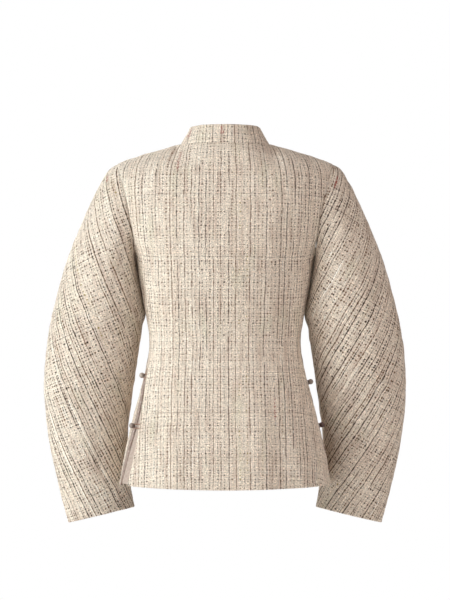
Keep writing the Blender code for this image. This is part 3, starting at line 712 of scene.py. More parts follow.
def makeTweedGroup():
    yarns, shades, scales = tweedYarns, tweedShades, tweedYarns["scales"]
    group, given, result = newTree("ShaderNodeTree", "tweedWeave", [
        ("Place", "Vector"), ("Warp Pitch", "Float", yarns["warpPitch"]), ("Weft Pitch", "Float", yarns["weftPitch"]),
        ("Slubs", "Float", 1.0), ("Thickness", "Float", 1.0), ("Dark Pitch", "Float", 0.006), ("Trim", "Float", 0.0),
    ], [("Colour", "Color"), ("Height", "Float")])
    place, thickness = given["Place"], given["Thickness"]
    across, along = split("ShaderNodeSeparateXYZ", place)[:2]

    # yarns don't lie quite straight
    u = across + (noise(place, scales["waver"][0]) - 0.5) * yarns["waver"][0]
    u = u + (noise(place, scales["crimp"]) - 0.5) * yarns["crimp"]
    v = along + (noise(joined(along, across, 3.0), scales["waver"][1]) - 0.5) * yarns["waver"][1]
    v = v + (noise(joined(along, across, 9.0), scales["crimp"]) - 0.5) * yarns["crimp"]

    # base weave of cream and beige yarns
    counts = u / given["Warp Pitch"], v / given["Weft Pitch"]
    warpIndex, weftIndex = (work("FLOOR", count) for count in counts)
    warpRound, weftRound = (work("SINE", work("FRACT", count) * math.pi) for count in counts)
    parity = (warpIndex + weftIndex) % 2.0
    cellTone = chance(warpIndex, weftIndex, 7.0)
    warpTone, weftTone = chance(warpIndex, 53.0, 0.0)[0], chance(weftIndex, 0.0, 29.0)[1]
    base = blend(parity, blend(step(weftTone, 0.1, 0.9), shades["cream"], shades["beige"]),
                 blend(step(warpTone, 0.25, 0.9), shades["cream"], shades["beige"]))
    bands = longNoise(u * scales["bands"][0], v * scales["bands"][1], 1.0, 2.0)
    base = blend(step(bands, 0.45, 0.75, 0.0, 0.6), base, shades["taupe"])
    sage = longNoise(u * scales["sage"][0], v * scales["sage"][1], 21.0)
    base = blend(step(sage, 0.55, 0.8, 0.0, 0.4), base, shades["sage"])
    # valley is low where a yarn dips under its neighbours; it darkens the colour there as painted shade, and also
    # shapes the bump
    valley = lerp(parity, weftRound * (0.5 + warpRound * 0.5), warpRound * (0.5 + weftRound * 0.5))
    fibre, mottle = noise(place, scales["fibre"], 2.0, 0.6), noise(place, scales["mottle"], 2.0, 0.7)
    toneAndValleyShade = (step(valley, 0.0, 0.8, 0.70, 1.03) * step(mottle, 0.25, 0.75, 0.60, 1.33)
           * step(fibre, 0.2, 0.8, 0.92, 1.04) * lerp(cellTone[2], 0.78, 1.12))
    # where four yarns meet, a small gap darkened as painted shade, in some places more than in others
    gap = (step(warpRound, 0.6, 0.1) * step(weftRound, 0.6, 0.1)
           * step(noise(place, scales["gaps"], 2.0), 0.45, 0.65, 0.1, 0.8) * step(cellTone[0], 0.3, 0.9))
    # along each vent's front edge the colour turns taupe, darkened as painted shade, and fewer dark yarns show
    base = blend(given["Trim"] * 0.9, base, shades["trim"])
    base = follow("ShaderNodeVectorMath", {0: base, 3: toneAndValleyShade}, operation="SCALE")

    def darkYarns(way, across, along, pitch, seed):
        # the dark yarns of one way: where each lies, and where it comes to the face
        start, swing = yarns["shownFrom"][way], yarns["swing"][way]
        count = across / pitch
        index = work("FLOOR", count)
        kind, nature = chance(index, seed, 0.0), chance(index, seed, 31.0)
        stretch = longNoise(index * 7.31, along * swing, seed, 1.5) + kind[2] * 0.22
        return {"index": index, "kind": kind[0], "width": nature[0], "tone": nature[2],
                "offset": abs((work("FRACT", count) - lerp(kind[1], 0.26, 0.74)) * pitch),
                "shown": step(stretch, start, start + 0.14),
                "uneven": longNoise(index * 3.17, along * scales["swells"], seed + 5.0, 2.0),
                "beads": longNoise(index * 5.71, along * scales["beads"], seed + 9.0)}

    def drawnYarns(yarn, share, width, strength=1.0):
        # a drawn yarn shows as a line that swells, thins and tapers to its ends
        isLine = (1.0 - yarn["index"] % 2.0) * (yarn["kind"] < share)
        reach = (thickness * width * step(yarn["uneven"], 0.25, 0.75, 0.40, 1.4)
                 * step(yarn["beads"], 0.30, 0.62, 0.35, 1.35) * lerp(yarn["width"], 0.7, 1.1) * yarn["shown"])
        line = isLine * step(yarn["offset"] - reach, 0.00028, -0.00022, 0.0, strength) * (yarn["shown"] > 0.02)
        thin = width * 0.42 * step(yarn["uneven"], 0.35, 0.75) * yarn["shown"]
        thread = (1.0 - isLine) * step(yarn["offset"] - thin, 0.00022, -0.00016, 0.0, strength)
        return isLine, line, thread * (yarn["shown"] > 0.1)

    def crossingNubs(warp, weft, seed, nubSize, bare, share):
        # a slubbed yarn shows as nubs where it crosses the others
        nub = chance(warp["index"], weft["index"], seed)
        size = lerp(nub[0], 0.65, 1.3) * (0.5 + thickness * 0.5) * share * step(nub[2], bare, bare + 0.3)
        distance = work("SQRT", (warp["offset"] / nubSize[0]) ** 2.0 + (weft["offset"] / nubSize[1]) ** 2.0)
        return step(distance - size, 0.26, -0.22) * (size > 0.2)

    warp = darkYarns("warp", u, v, given["Dark Pitch"], 11.0)
    weft = darkYarns("weft", v, u, yarns["darkWeftPitch"], 83.0)
    isLine, line, thread = drawnYarns(warp, yarns["lineShare"], yarns["lineWidth"])
    row, rowThread = drawnYarns(weft, yarns["rowShare"], yarns["rowWidth"], yarns["rowStrength"])[1:]
    nubbed = (1.0 - isLine) * (warp["kind"] < yarns["nubShare"]) * warp["shown"] * lerp(warp["tone"], 0.7, 1.0)
    nubs = crossingNubs(warp, weft, 3.0, yarns["nubSize"], 0.10, nubbed)
    rowNubs = crossingNubs(warp, weft, 17.0, yarns["rowNubSize"], 0.20, weft["shown"] * lerp(weft["tone"], 0.6, 1.0))
    flecks = darkYarns("fleck", u, v, yarns["fleckPitch"], 47.0)
    fleckNubs = crossingNubs(flecks, weft, 29.0, yarns["fleckNubSize"], 0.0,
                             flecks["shown"] * (flecks["kind"] < yarns["fleckNubShare"]))
    white = largest(drawnYarns(flecks, yarns["fleckShare"], yarns["fleckWidth"])[1], fleckNubs)
    base = blend(white * 0.75, base, shades["white"])

    dark = blend(step(warp["tone"], 0.3, 0.8), shades["dark"], shades["brown"])
    dark = blend((warp["kind"] > 0.965) * step(noise(place, scales["ochre"]), 0.45, 0.55), dark, shades["ochre"])
    rust = 0.0
    for spotAcross, spotAlong, halfWidth, halfLength in yarns["rustSpots"]:
        near = step(abs(across - spotAcross) / halfWidth, 1.2, 0.6)
        rust = largest(near * step(abs(along - spotAlong) / halfLength, 1.1, 0.5), rust)
    dark = blend(rust, dark, shades["rust"])
    rustNubs = rust * step(noise(place, scales["rustNubs"]), 0.46, 0.60)
    shown = largest(line, nubs, rustNubs, thread, rowThread, row, rowNubs, gap * 0.7)
    shown = shown * given["Slubs"] * lerp(given["Trim"], 1.0, 0.45)
    feed(result["Colour"], blend(shown, base, dark))
    feed(result["Height"], valley * 0.7 + largest(nubs, rowNubs, white) * 0.5 + (fibre + mottle) * 0.14)
    return group


finishes = {
    "tweed": {"Roughness": 0.92, "Specular IOR Level": 0.22, "Sheen Weight": 0.10, "Sheen Roughness": 0.5,
              "Sheen Tint": linearShade(246, 238, 224)},
    "plainTaupeCloth": {"Roughness": 0.88, "Specular IOR Level": 0.25, "Sheen Weight": 0.12, "Sheen Roughness": 0.45},
    "mottledHorn": {"Specular IOR Level": 0.5, "Coat Weight": 0.12, "Coat Roughness": 0.25},
    "brownCord": {"Roughness": 0.8, "Specular IOR Level": 0.25, "Sheen Weight": 0.15},
    "slubYarn": {"Roughness": 0.95, "Specular IOR Level": 0.2, "Sheen Weight": 0.2},
    "paleFloor": {"Roughness": 0.9, "Specular IOR Level": 0.2},
}


def newMaterial(name, finish=None):
    material = bpy.data.materials.new(name)
    material.use_nodes = True
    shader = material.node_tree.nodes["Principled BSDF"]
    for key, value in finishes[finish or name].items():
        shader.inputs[key].default_value = value
    return material, material.node_tree, shader.inputs


def clothPlace(tree):
    return source(tree, "ShaderNodeUVMap", 0, uv_map="clothPlace")


def objectPlace(tree):
    return source(tree, "ShaderNodeTexCoord", "Object")


def pointValue(tree, name):
    return source(tree, "ShaderNodeAttribute", "Fac", attribute_name=name)


def finishSurface(surface, colour, height, strength, distance):
    feed(surface["Base Color"], colour)
    feed(surface["Normal"], follow("ShaderNodeBump", {"Strength": strength, "Distance": distance, "Height": height}))


def makeTweed(name, slubStrength, thickness, darkPitch):
    material, tree, surface = newMaterial(name, "tweed")
    weave = addNode(tree, "ShaderNodeGroup", {
        "Place": clothPlace(tree), "Slubs": slubStrength, "Thickness": thickness, "Dark Pitch": darkPitch,
        "Trim": pointValue(tree, "trim")}, node_tree=tweedGroup).outputs
    finishSurface(surface, nodeValue(weave["Colour"]), nodeValue(weave["Height"]), 0.85, 0.0006)
    return material


def makeFacing():
    # plain taupe cloth of the underlaps
    material, tree, surface = newMaterial("plainTaupeCloth")
    place = clothPlace(tree)
    across, along = split("ShaderNodeSeparateXYZ", place)[:2]
    weave = work("SINE", across * (2 * math.pi / 0.0011)) * work("SINE", along * (2 * math.pi / 0.0012))
    mottle = noise(place, 260.0, 3.0)
    colour = blend(step(mottle + weave * 0.12, 0.3, 0.7), linearShade(165, 145, 133), linearShade(188, 169, 156))
    finishSurface(surface, colour, weave + mottle, 0.6, 0.00025)
    return material


def makeHorn():
    # the ball buttons: mottled brown and taupe, softly polished
    material, tree, surface = newMaterial("mottledHorn")
    place = objectPlace(tree)
    grain = noise(place, 900.0, 3.0, 0.6)
    # how pale each ball is: its own tone, and on the lower right ball painted shade too
    toneAndShade = pointValue(tree, "toneAndShade") + step(noise(place, 55.0, 2.0), 0.35, 0.65, -0.15, 0.15)
    colour = blend(toneAndShade, linearShade(86, 62, 58), linearShade(176, 162, 150))
    colour = blend(step(grain, 0.45, 0.8, 0.0, 0.45), colour, linearShade(70, 52, 46))
    feed(surface["Roughness"], step(grain, 0.2, 0.8, 0.34, 0.52))
    finishSurface(surface, colour, grain, 0.25, 0.0002)
    return material


def makeCordMaterial():
    material, tree, surface = newMaterial("brownCord")
    place = objectPlace(tree)
    fibre = noise(place, 2600.0, 2.0, 0.6)
    colour = blend(step(fibre, 0.3, 0.75), linearShade(138, 100, 80), linearShade(184, 150, 130))
    colour = blend(step(noise(place, 240.0), 0.5, 0.75, 0.0, 0.5), colour, linearShade(104, 66, 48))
    finishSurface(surface, colour, fibre, 0.5, 0.0002)
    return material


def makeSlubMaterial():
    # loose nubs of yarn: cream, with a few dark and rust ones
    material, tree, surface = newMaterial("slubYarn")
    tone = pointValue(tree, "tone")
    colour = blend(step(tone, 0.0, 0.6), linearShade(250, 245, 234), linearShade(232, 220, 202))
    colour = blend(tone > 0.80, colour, linearShade(96, 74, 56))
    colour = blend(tone > 0.985, colour, linearShade(138, 70, 56))
    finishSurface(surface, colour, noise(objectPlace(tree), 1800.0, 2.0, 0.6), 0.6, 0.0003)
    return material


tweedGroup = makeTweedGroup()
tweed = {"body": makeTweed("tweed", 0.90, 1.0, 0.0062), "sleeve": makeTweed("tweedSleeve", 1.0, 1.28, 0.0052)}
facing, horn, cordMaterial, slubMaterial = makeFacing(), makeHorn(), makeCordMaterial(), makeSlubMaterial()
print("materials made")


bodyPanels = {
    "rows": (76, 30, 26), "columns": 54,  # rows to the underarm, the yoke line and the top
    "flatRows": (15, 9, 6), "flatColumns": 12,
    "ventTaupeShadeBand": 12.0,  # width of the taupe band along the front's edge of each vent: taupe cloth darkened as painted shade
    "ventFade": (4.7, 5.1), "neckDip": 0.45,
    "underarmStart": (-0.2, 0.0), "underarmQuiet": (1.2, 3.2),  # levels above the underarm
    "straightTo": -8,  # coarse row at which the straight front edge ends
    "inside": (0.0, 0.0, -300.0),
}
backCreases = (  # start level and part, end level and part, width, depth
    (12.6, 0.93, 7.4, 0.80, 9.0, -1.7),
    (11.0, 0.99, 8.6, 0.88, 6.0, -1.4),
    (12.2, -0.95, 6.9, -0.84, 9.5, -1.9),
    (13.6, -0.42, 2.0, -0.40, 13.0, 1.1),
    (13.0, -0.30, 3.5, -0.29, 12.0, -0.9),
    (8.0, 0.34, 3.6, 0.36, 11.0, -0.8),
    (5.9, 0.98, 5.2, 0.70, 6.5, -1.1),
    (5.1, 1.0, 4.5, 0.76, 6.0, -0.9),
    (5.7, -1.0, 5.3, -0.72, 6.5, -1.2),
    (15.5, 0.80, 13.4, 0.93, 8.0, -0.7),
    (15.5, -0.78, 13.2, -0.92, 8.0, -0.7),
    (15.9, -0.49, 15.3, -0.50, 2.2, -0.6),
)
frontCreases = {
    leftSide: (
        (12.4, 0.92, 7.6, 0.74, 9.0, -1.8),
        (9.8, 0.55, 5.6, 0.42, 12.0, -1.2),
        (5.9, 1.0, 5.1, 0.66, 6.5, -1.3),
        (13.5, 0.35, 10.2, 0.50, 13.0, 1.1),
        (4.2, 0.30, 0.6, 0.34, 12.0, -1.0),
    ),
    rightSide: (
        (12.7, 0.94, 7.2, 0.78, 8.5, -1.7),
        (9.4, 0.48, 5.4, 0.40, 12.5, -1.1),
        (5.6, 1.0, 5.3, 0.70, 6.0, -1.2),
        (13.2, 0.40, 10.6, 0.54, 13.0, 1.0),
        (3.8, 0.36, 0.5, 0.40, 11.0, -0.9),
    ),
}
boltPlaces = {  # where each panel was cut from the cloth, in millimetres
    "back": (0.0, 0.0), "front_left": (731.0, 40.0), "front_right": (1277.0, 92.0), "collar": (1903.0, 17.0),
    "sleeve_back_left": (2411.0, 63.0), "sleeve_back_right": (3109.0, 28.0),
    "sleeve_front_left": (3701.0, 81.0), "sleeve_front_right": (4409.0, 52.0),
}
madeShells = {}


def closeSeams(grid, rooms):
    # the border drawn back from a seam by its share of the room
    grid = grid.copy()
    for edge, room in rooms.items():
        lines = grid if edge == "last" else grid.transpose(1, 0, 2)
        border, beside = (0, 1) if edge == "start" else (-1, -2)
        lines[border] += unit(lines[beside] - lines[border]) * room
    return grid


def edgesOf(first, last, start, end, inside):
    return {"first": first, "last": last, "start": start, "end": end, "inside": inside}


def dressPanel(name, points, coarse, lines, coarseLines, creases, edges, upward, held, restsOn=(), **shell):
    # one cut of cloth, laid flat from its coarse grid and dressed on its fine one
    flat = flattenPanel(coarse)
    flat = turnFlat(flat, upward(flat))
    flat = flat - flat.reshape(-1, 2).min(0)
    places = (np.interp(line, rough, np.arange(len(rough))) for line, rough in zip(lines, coarseLines))
    fine = spreadFlat(flat, *places) + np.array(boltPlaces[name])
    mesh, outer, fineFlat = makeShell(name + "_cloth", points, fine, *lines, edges, creases, **shell)
    cloth = tweed["sleeve" if name.startswith("sleeve") else "body"]
    piece = addPiece(name + "_cloth", mesh, cloth, [name])
    madeShells[name] = (outer, fineFlat)


def bodyLevels(lower, yoke, top):
    return np.concatenate([np.arange(lower) * underarmLevel / lower,
                           underarmLevel + np.arange(yoke) * (yokeLevel - underarmLevel) / yoke,
                           yokeLevel + np.arange(top + 1) / top])


def bodyDips(edge, level, part):
    # no dip in the armhole seam under the arm, where the sleeve turns away; a slight one at the neck
    if edge == "last":
        return np.where(abs(part) < bodyForm["neckShare"], bodyPanels["neckDip"], 1.0)
    above = level - underarmLevel
    quiet = softStep(*bodyPanels["underarmStart"], above) * (1.0 - softStep(*bodyPanels["underarmQuiet"], above))
    return 1.0 - quiet


def backGrid(levels, half):
    left, right = (halfPanel(side, backFace, levels, half) for side in (leftSide, rightSide))
    return np.concatenate([right[:, :0:-1], left], axis=1)


def upTheMiddle(flat):
    middle = flat.shape[1] // 2
    return flat[-1, middle] - flat[0, middle]


def upTheFront(flat):
    return flat[bodyPanels["straightTo"], 0] - flat[0, 0]


def makeBodyPanels():
    sizes = bodyPanels
    levels, flatLevels = (bodyLevels(*sizes[rows]) for rows in ("rows", "flatRows"))
    half, flatHalf = (np.linspace(0.0, 1.0, sizes[columns] + 1) for columns in ("columns", "flatColumns"))
    whole, flatWhole = (np.concatenate([-parts[:0:-1], parts]) for parts in (half, flatHalf))
    openSide = 1.0 - softStep(*sizes["ventFade"], levels)
    inside = sizes["inside"]
    dressPanel("back", closeSeams(backGrid(levels, half), {"last": seamRoom / 2}), backGrid(flatLevels, flatHalf),
               (levels, whole), (flatLevels, flatWhole), backCreases, edgesOf(1.0, 0.0, openSide, openSide, inside),
               upTheMiddle, "hung", restsOn=["collar_cloth"], hem="first", dips=bodyDips)
    for side in (leftSide, rightSide):
        points, coarse = (halfPanel(side, frontFace, *lines) for lines in ((levels, half), (flatLevels, flatHalf)))
        points = closeSeams(points, {"last": seamRoom / 2, "start": openRoom / 2})
        dressPanel("front_" + sideNames[side], points, coarse, (levels, half), (flatLevels, flatHalf),
                   frontCreases[side], edgesOf(1.0, 0.0, 1.0, openSide, inside), upTheFront, "hung", hem="first",
                   dips=bodyDips, trim=sizes["ventTaupeShadeBand"])


sleevePanels = {
    "rows": 132, "columns": 46, "flatRows": 30, "flatColumns": 12,
    "grainSpot": (16, 5), "grainLean": {leftSide: 21.5, rightSide: 29.0},
    # where the inside of the sleeve lies against the body: gap, farthest move, heights, levels and
    # the parts of the panel over which it starts
    "bodyGap": 0.9, "mostMoved": 8.0, "againstZ": (-314.0, -284.0), "againstLevel": (0.0, 0.5),
    "againstPart": (0.66, 1.0),
    "armholeQuiet": (0.55, 0.8),  # the armhole seam has no dip past these parts, under the arm
}
sleeveCreases = {
    (leftSide, backFace): (
        (0.6, 0.80, 3.4, 0.86, 8.0, -1.6),
        (1.2, 0.55, 5.8, 0.62, 12.0, -1.8),
        (0.8, 0.28, 3.8, 0.30, 10.0, -1.2),
        (7.0, 1.0, 6.2, 0.66, 8.0, -2.0),
        (8.0, 1.0, 7.6, 0.56, 7.0, -2.4),
        (8.9, 1.0, 8.9, 0.62, 7.0, -2.0),
        (10.0, 0.98, 9.8, 0.70, 7.0, -1.3),
        (5.2, 0.34, 9.4, 0.26, 14.0, 1.6),
        (9.4, 0.48, 12.4, 0.60, 11.0, -1.2),
        (11.2, 0.22, 13.6, 0.30, 10.0, -0.9),
    ),
    (rightSide, backFace): (
        (0.7, 0.84, 3.0, 0.84, 8.0, -1.7),
        (1.4, 0.50, 6.2, 0.66, 12.0, -1.7),
        (0.9, 0.24, 3.4, 0.27, 10.0, -1.1),
        (6.8, 1.0, 6.3, 0.70, 7.5, -1.8),
        (7.9, 1.0, 7.3, 0.58, 7.5, -2.4),
        (8.8, 1.0, 8.6, 0.60, 6.5, -2.2),
        (9.7, 1.0, 9.9, 0.72, 7.0, -1.4),
        (4.8, 0.40, 9.6, 0.30, 13.0, 1.8),
        (9.0, 0.50, 12.0, 0.58, 11.0, -1.3),
        (11.6, 0.30, 13.7, 0.34, 10.0, -0.9),
    ),
    (leftSide, frontFace): (
        (0.8, 0.78, 3.8, 0.84, 8.0, -1.7),
        (1.3, 0.50, 5.4, 0.58, 12.0, -1.6),
        (6.9, 1.0, 6.3, 0.68, 7.5, -1.9),
        (7.8, 1.0, 7.5, 0.54, 7.0, -2.4),
        (8.8, 1.0, 8.8, 0.60, 7.0, -2.1),
        (9.8, 1.0, 9.9, 0.70, 7.0, -1.3),
        (5.0, 0.36, 9.2, 0.28, 14.0, 1.5),
        (9.6, 0.52, 12.6, 0.58, 11.0, -1.1),
    ),
    (rightSide, frontFace): (
        (0.7, 0.80, 3.5, 0.83, 8.0, -1.6),
        (1.2, 0.48, 5.8, 0.60, 12.0, -1.6),
        (7.0, 1.0, 6.4, 0.66, 7.5, -1.9),
        (7.9, 1.0, 7.7, 0.56, 7.0, -2.3),
        (8.9, 1.0, 9.0, 0.62, 7.0, -2.0),
        (9.9, 1.0, 10.0, 0.72, 7.0, -1.2),
        (4.9, 0.38, 9.4, 0.28, 14.0, 1.6),
        (9.2, 0.50, 12.2, 0.60, 11.0, -1.2),
    ),
}


def layOnBody(points, side, levels, parts):
    # down to the waist the inside of the sleeve lies against the body
    sizes, inner = sleevePanels, points[:, -1]
    gap = side * inner[:, 0] - np.interp(inner[:, 2], ring["sideZ"], ring["halfWidth"])
    near = softStep(*sizes["againstZ"], inner[:, 2]) * softStep(*sizes["againstLevel"], levels)
    moved = np.clip(gap + sizes["bodyGap"], 0.0, sizes["mostMoved"]) * near
    points = points.copy()
    points[..., 0] -= side * moved[:, None] * softStep(*sizes["againstPart"], parts)[None]
    return points


def sleeveDips(edge, level, part):
    return 1.0 - softStep(*sleevePanels["armholeQuiet"], part) if edge == "first" else np.ones_like(part)


def grainUp(side, coarse):
    # the grain leans from the outside of the shoulder to the inside of the cuff
    row, column = sleevePanels["grainSpot"]
    lean = math.radians(sleevePanels["grainLean"][side])

    def stepsOf(grid):
        return np.stack([grid[row + 1, column] - grid[row, column], grid[row, column + 1] - grid[row, column]], 1)
    way = np.array([side * math.sin(lean), 0.0, math.cos(lean)])
    return lambda flat: stepsOf(flat) @ np.linalg.lstsq(stepsOf(coarse), way, rcond=None)[0]


def makeSleeves():
    sizes, start = sleevePanels, sleeveForm["startLevel"]
    lines, flatLines = ((start + (cuffLevel - start) * np.linspace(0.0, 1.0, sizes[rows] + 1),
                         np.linspace(0.0, 1.0, sizes[columns] + 1))
                        for rows, columns in (("rows", "columns"), ("flatRows", "flatColumns")))
    for side in (leftSide, rightSide):
        inside = sleevePoint(side, cuffLevel / 2, np.array([0.0, 180.0])).mean(0)
        for face in (backFace, frontFace):
            points, coarse = (sleevePoint(side, levels[:, None], face * 180.0 * parts[None])
                              for levels, parts in (lines, flatLines))
            points = closeSeams(layOnBody(points, side, *lines), {"start": seamRoom / 2, "end": seamRoom / 2})
            dressPanel("sleeve_" + faceNames[face] + "_" + sideNames[side], points, coarse, lines, flatLines,
                       sleeveCreases[side, face], edgesOf(0.0, 1.0, 0.0, 0.0, inside), grainUp(side, coarse), "hung",
                       hem="last", dips=sleeveDips)


collarPanel = {"rows": 12, "columns": 132, "flatRows": 4, "flatColumns": 36}


def makeCollar():
    lines, flatLines = ((np.linspace(0.0, 1.0, collarPanel[rows] + 1),
                         np.linspace(-180.0, 180.0, collarPanel[columns] + 1))
                        for rows, columns in (("rows", "columns"), ("flatRows", "flatColumns")))
    points, coarse = (collarPoints(turns, rises) for rises, turns in (lines, flatLines))
    dressPanel("collar", closeSeams(points, {"start": openRoom / 2, "end": openRoom / 2}), coarse, lines, flatLines,
               (), edgesOf(0.0, 1.0, 1.0, 1.0, (0.0, 0.0, 0.0)), upTheMiddle, "gathered")


makeBodyPanels()
makeSleeves()
makeCollar()
print("cloth panels made")

underlapPanel = {
    "levels": (0.06, 9.0 * 7 / 13), "underEdge": 11.0, "drop": 0.2, "wall": 1.2, "lumpy": 0.3,
    "inside": (0.0, 0.0, -500.0),
    "rows": 44, "columns": 16, "flatRows": 14, "flatColumns": 5,
}


def underlapGrid(side, levels, parts):
    # behind the vent, reaching in under the edges of the back and the front
    backEdge, frontEdge = ventEdges(side, levels)
    start = arcAngle(side, levels, backEdge, -underlapPanel["underEdge"])
    end = arcAngle(side, levels, frontEdge, underlapPanel["underEdge"])
    angles = start[:, None] + (end - start)[:, None] * parts[None]
    rows = np.broadcast_to(levels[:, None], angles.shape)
    behind = wallThickness + underlapPanel["drop"]
    return bodyPoint(side, rows, angles) - bodyNormal(side, rows, angles) * behind


def makeUnderlaps():
    sizes = underlapPanel
    lines, flatLines = ((np.linspace(*sizes["levels"], sizes[rows] + 1), np.linspace(0.0, 1.0, sizes[columns] + 1))
                        for rows, columns in (("rows", "columns"), ("flatRows", "flatColumns")))
    for side in (leftSide, rightSide):
        name = "vent_underlap_" + sideNames[side]
        flat = flattenPanel(underlapGrid(side, *flatLines))
        flat = turnFlat(flat, flat[-1, 2] - flat[0, 2])
        fine = spreadFlat(flat, np.linspace(0.0, sizes["flatRows"], sizes["rows"] + 1),
                          np.linspace(0.0, sizes["flatColumns"], sizes["columns"] + 1))
        mesh = makeShell(name + "_cloth", underlapGrid(side, *lines), fine, *lines,
                         edgesOf(1.0, 1.0, 1.0, 1.0, sizes["inside"]), wall=sizes["wall"], lumpy=sizes["lumpy"])[0]
        piece = addPiece(name + "_cloth", mesh, facing, [name])


makeUnderlaps()
print("underlaps made")

closures = {
    "ballRadius": 4.7, "shankRadius": 1.5, "shankHeight": 0.3, "seatGap": 0.35, "inset": 5.6,
    "shank": ((1.25, 0.0), (1.05, 0.35), (0.95, 0.8)),  # share of its radius, height
    "around": 32, "arcs": 18,
    "cordRadius": 0.8, "loopRadius": 3.2, "sewnLength": 4.0, "bendTurns": range(-75, 76, 15),
    "levelStep": 0.1, "edgeRows": 400,  # for measuring heights on the cloth
    # side, number, height, how pale the ball is: its own tone, and on the lower right ball painted shade as well
    "side": ((leftSide, 1, -396.0, 0.95), (leftSide, 2, -481.0, 0.45), (rightSide, 1, -407.0, 0.85),
             (rightSide, 2, -480.0, 0.08)),
    "front": ((-82.0, 0.7), (-170.0, 0.4), (-258.0, 0.85), (-346.0, 0.3), (-434.0, 0.6)),
    "strandRadius": 0.44, "strandOffset": 0.40, "strandSides": 7, "twistLength": 3.4, "pathStep": 0.28,
}


def ballMesh(name, seat, normal, toneAndShade):
    # a shank and a ball, turned about the way out from the cloth
    sizes = closures
    radius, shank, around = sizes["ballRadius"], sizes["shankRadius"], sizes["around"]
    reach = math.asin(shank / radius)
    ballZ = sizes["shankHeight"] + radius * math.cos(reach)
    profile = [(shank * share, height) for share, height in sizes["shank"]]
    profile += [(radius * math.sin(turn), ballZ - radius * math.cos(turn))
                for turn in np.linspace(reach, math.pi, sizes["arcs"] + 1)[:-1]]
    points = [(wide * math.cos(turn), wide * math.sin(turn), height) for wide, height in profile
              for turn in np.linspace(0.0, 2 * math.pi, around + 1)[:-1]] + [(0.0, 0.0, ballZ + radius)]
    turnTo = Vector((0.0, 0.0, 1.0)).rotation_difference(Vector(normal))
    foot = Vector(seat + normal * sizes["seatGap"])
    points = np.array([foot + turnTo @ Vector(point) for point in points])
    index = np.arange(len(points) - 1).reshape(-1, around)
    after = np.roll(index, -1, axis=1)
    faces = np.stack([index[:-1], after[:-1], after[1:], index[1:]], -1).reshape(-1, 4).tolist()
    faces += [index[0, ::-1].tolist()] + [(*pair, len(points) - 1) for pair in zip(index[-1], after[-1])]
    return newMesh(name, points, faces, "toneAndShade", np.full(len(points), toneAndShade))


def chain(tree, geometry, *steps):
    # nodes one after another, each taking the geometry of the one before
    for kind, inputs in steps:
        geometry = addNode(tree, kind, {"Geometry": geometry, **inputs}).outputs[0]
    return geometry


def makeCordTree():
    tree, given, result = newTree("GeometryNodeTree", "twistedCord", [
        ("Geometry", "Geometry"), ("Strand Radius", "Float", 0.0004), ("Sides", "Int", 8), ("Material", "Material"),
    ], [("Geometry", "Geometry")])
    circle = addNode(tree, "GeometryNodeCurvePrimitiveCircle", {"Resolution": given["Sides"],
                                                                "Radius": given["Strand Radius"]})
    tube = addNode(tree, "GeometryNodeCurveToMesh", {"Curve": given["Geometry"], "Profile Curve": circle.outputs[0],
                                                     "Fill Caps": True})
    feed(result["Geometry"], chain(tree, tube.outputs[0], ("GeometryNodeSetShadeSmooth", {}),
                                   ("GeometryNodeRealizeInstances", {}),
                                   ("GeometryNodeSetMaterial", {"Material": given["Material"]})))
    return tree


def runTree(name, data, tree, values):
    # the tree's result on a curve or a mesh, as a plain mesh
    source = newObject(name, data)
    modifier = source.modifiers.new("made", "NODES")
    modifier.node_group = tree
    for item in tree.interface.items_tree:
        if item.in_out == "INPUT" and item.name in values:
            modifier[item.identifier] = values[item.name]
    graph = bpy.context.evaluated_depsgraph_get()
    mesh = bpy.data.meshes.new_from_object(source.evaluated_get(graph))
    mesh.name = name
    bpy.data.objects.remove(source, do_unlink=True)
    return mesh


cordTree = makeCordTree()


def loopPath(place, reach):
    # both legs of a loop and its round end, in even steps, and how far along each point is
    radius = closures["loopRadius"]
    bend = [(-radius * math.cos(math.radians(turn)), radius * math.sin(math.radians(turn)))
            for turn in closures["bendTurns"]]
    corners = np.array([*((part * reach, -radius) for part in (1.0, 0.5, 0.0)), *bend,
                        *((part * reach, radius) for part in (0.0, 0.5, 1.0))])
    length = np.concatenate([[0.0], np.cumsum(np.linalg.norm(np.diff(corners, axis=0), axis=1))])
    at = np.linspace(0.0, length[-1], int(length[-1] / closures["pathStep"]) + 1)
    return np.array([place(*(np.interp(spot, length, column) for column in corners.T)) for spot in at]), at


def cordMesh(name, normal, place, reach):
    # two strands twisted round the loop's path
    sizes = closures
    path, at = loopPath(place, reach)
    tangents = unit(np.gradient(path, axis=0))
    sideways = unit(np.cross(tangents, normal))
    upright = np.cross(sideways, tangents)
    curve = bpy.data.curves.new(name, "CURVE")
    curve.dimensions = "3D"
    for strand in range(2):
        turn = (2 * math.pi * at / sizes["twistLength"] + strand * math.pi)[:, None]
        points = path + sizes["strandOffset"] * (np.cos(turn) * sideways + np.sin(turn) * upright)
        spline = curve.splines.new("POLY")
        spline.points.add(len(points) - 1)
        spline.points.foreach_set("co", np.concatenate([points * millimetre, np.ones((len(points), 1))], 1).ravel())
    return runTree(name, curve, cordTree, {"Strand Radius": sizes["strandRadius"] * millimetre,
                                           "Sides": sizes["strandSides"], "Material": cordMaterial})


def makeClosure(button, seat, normal, place, reach, toneAndShade):
    loop = button.replace("button", "loop")
    addPiece(button + "_ball", ballMesh(button, seat, normal, toneAndShade), horn, [button])
    addPiece(loop + "_cord", cordMesh(loop, normal, place, reach), cordMaterial, [loop])


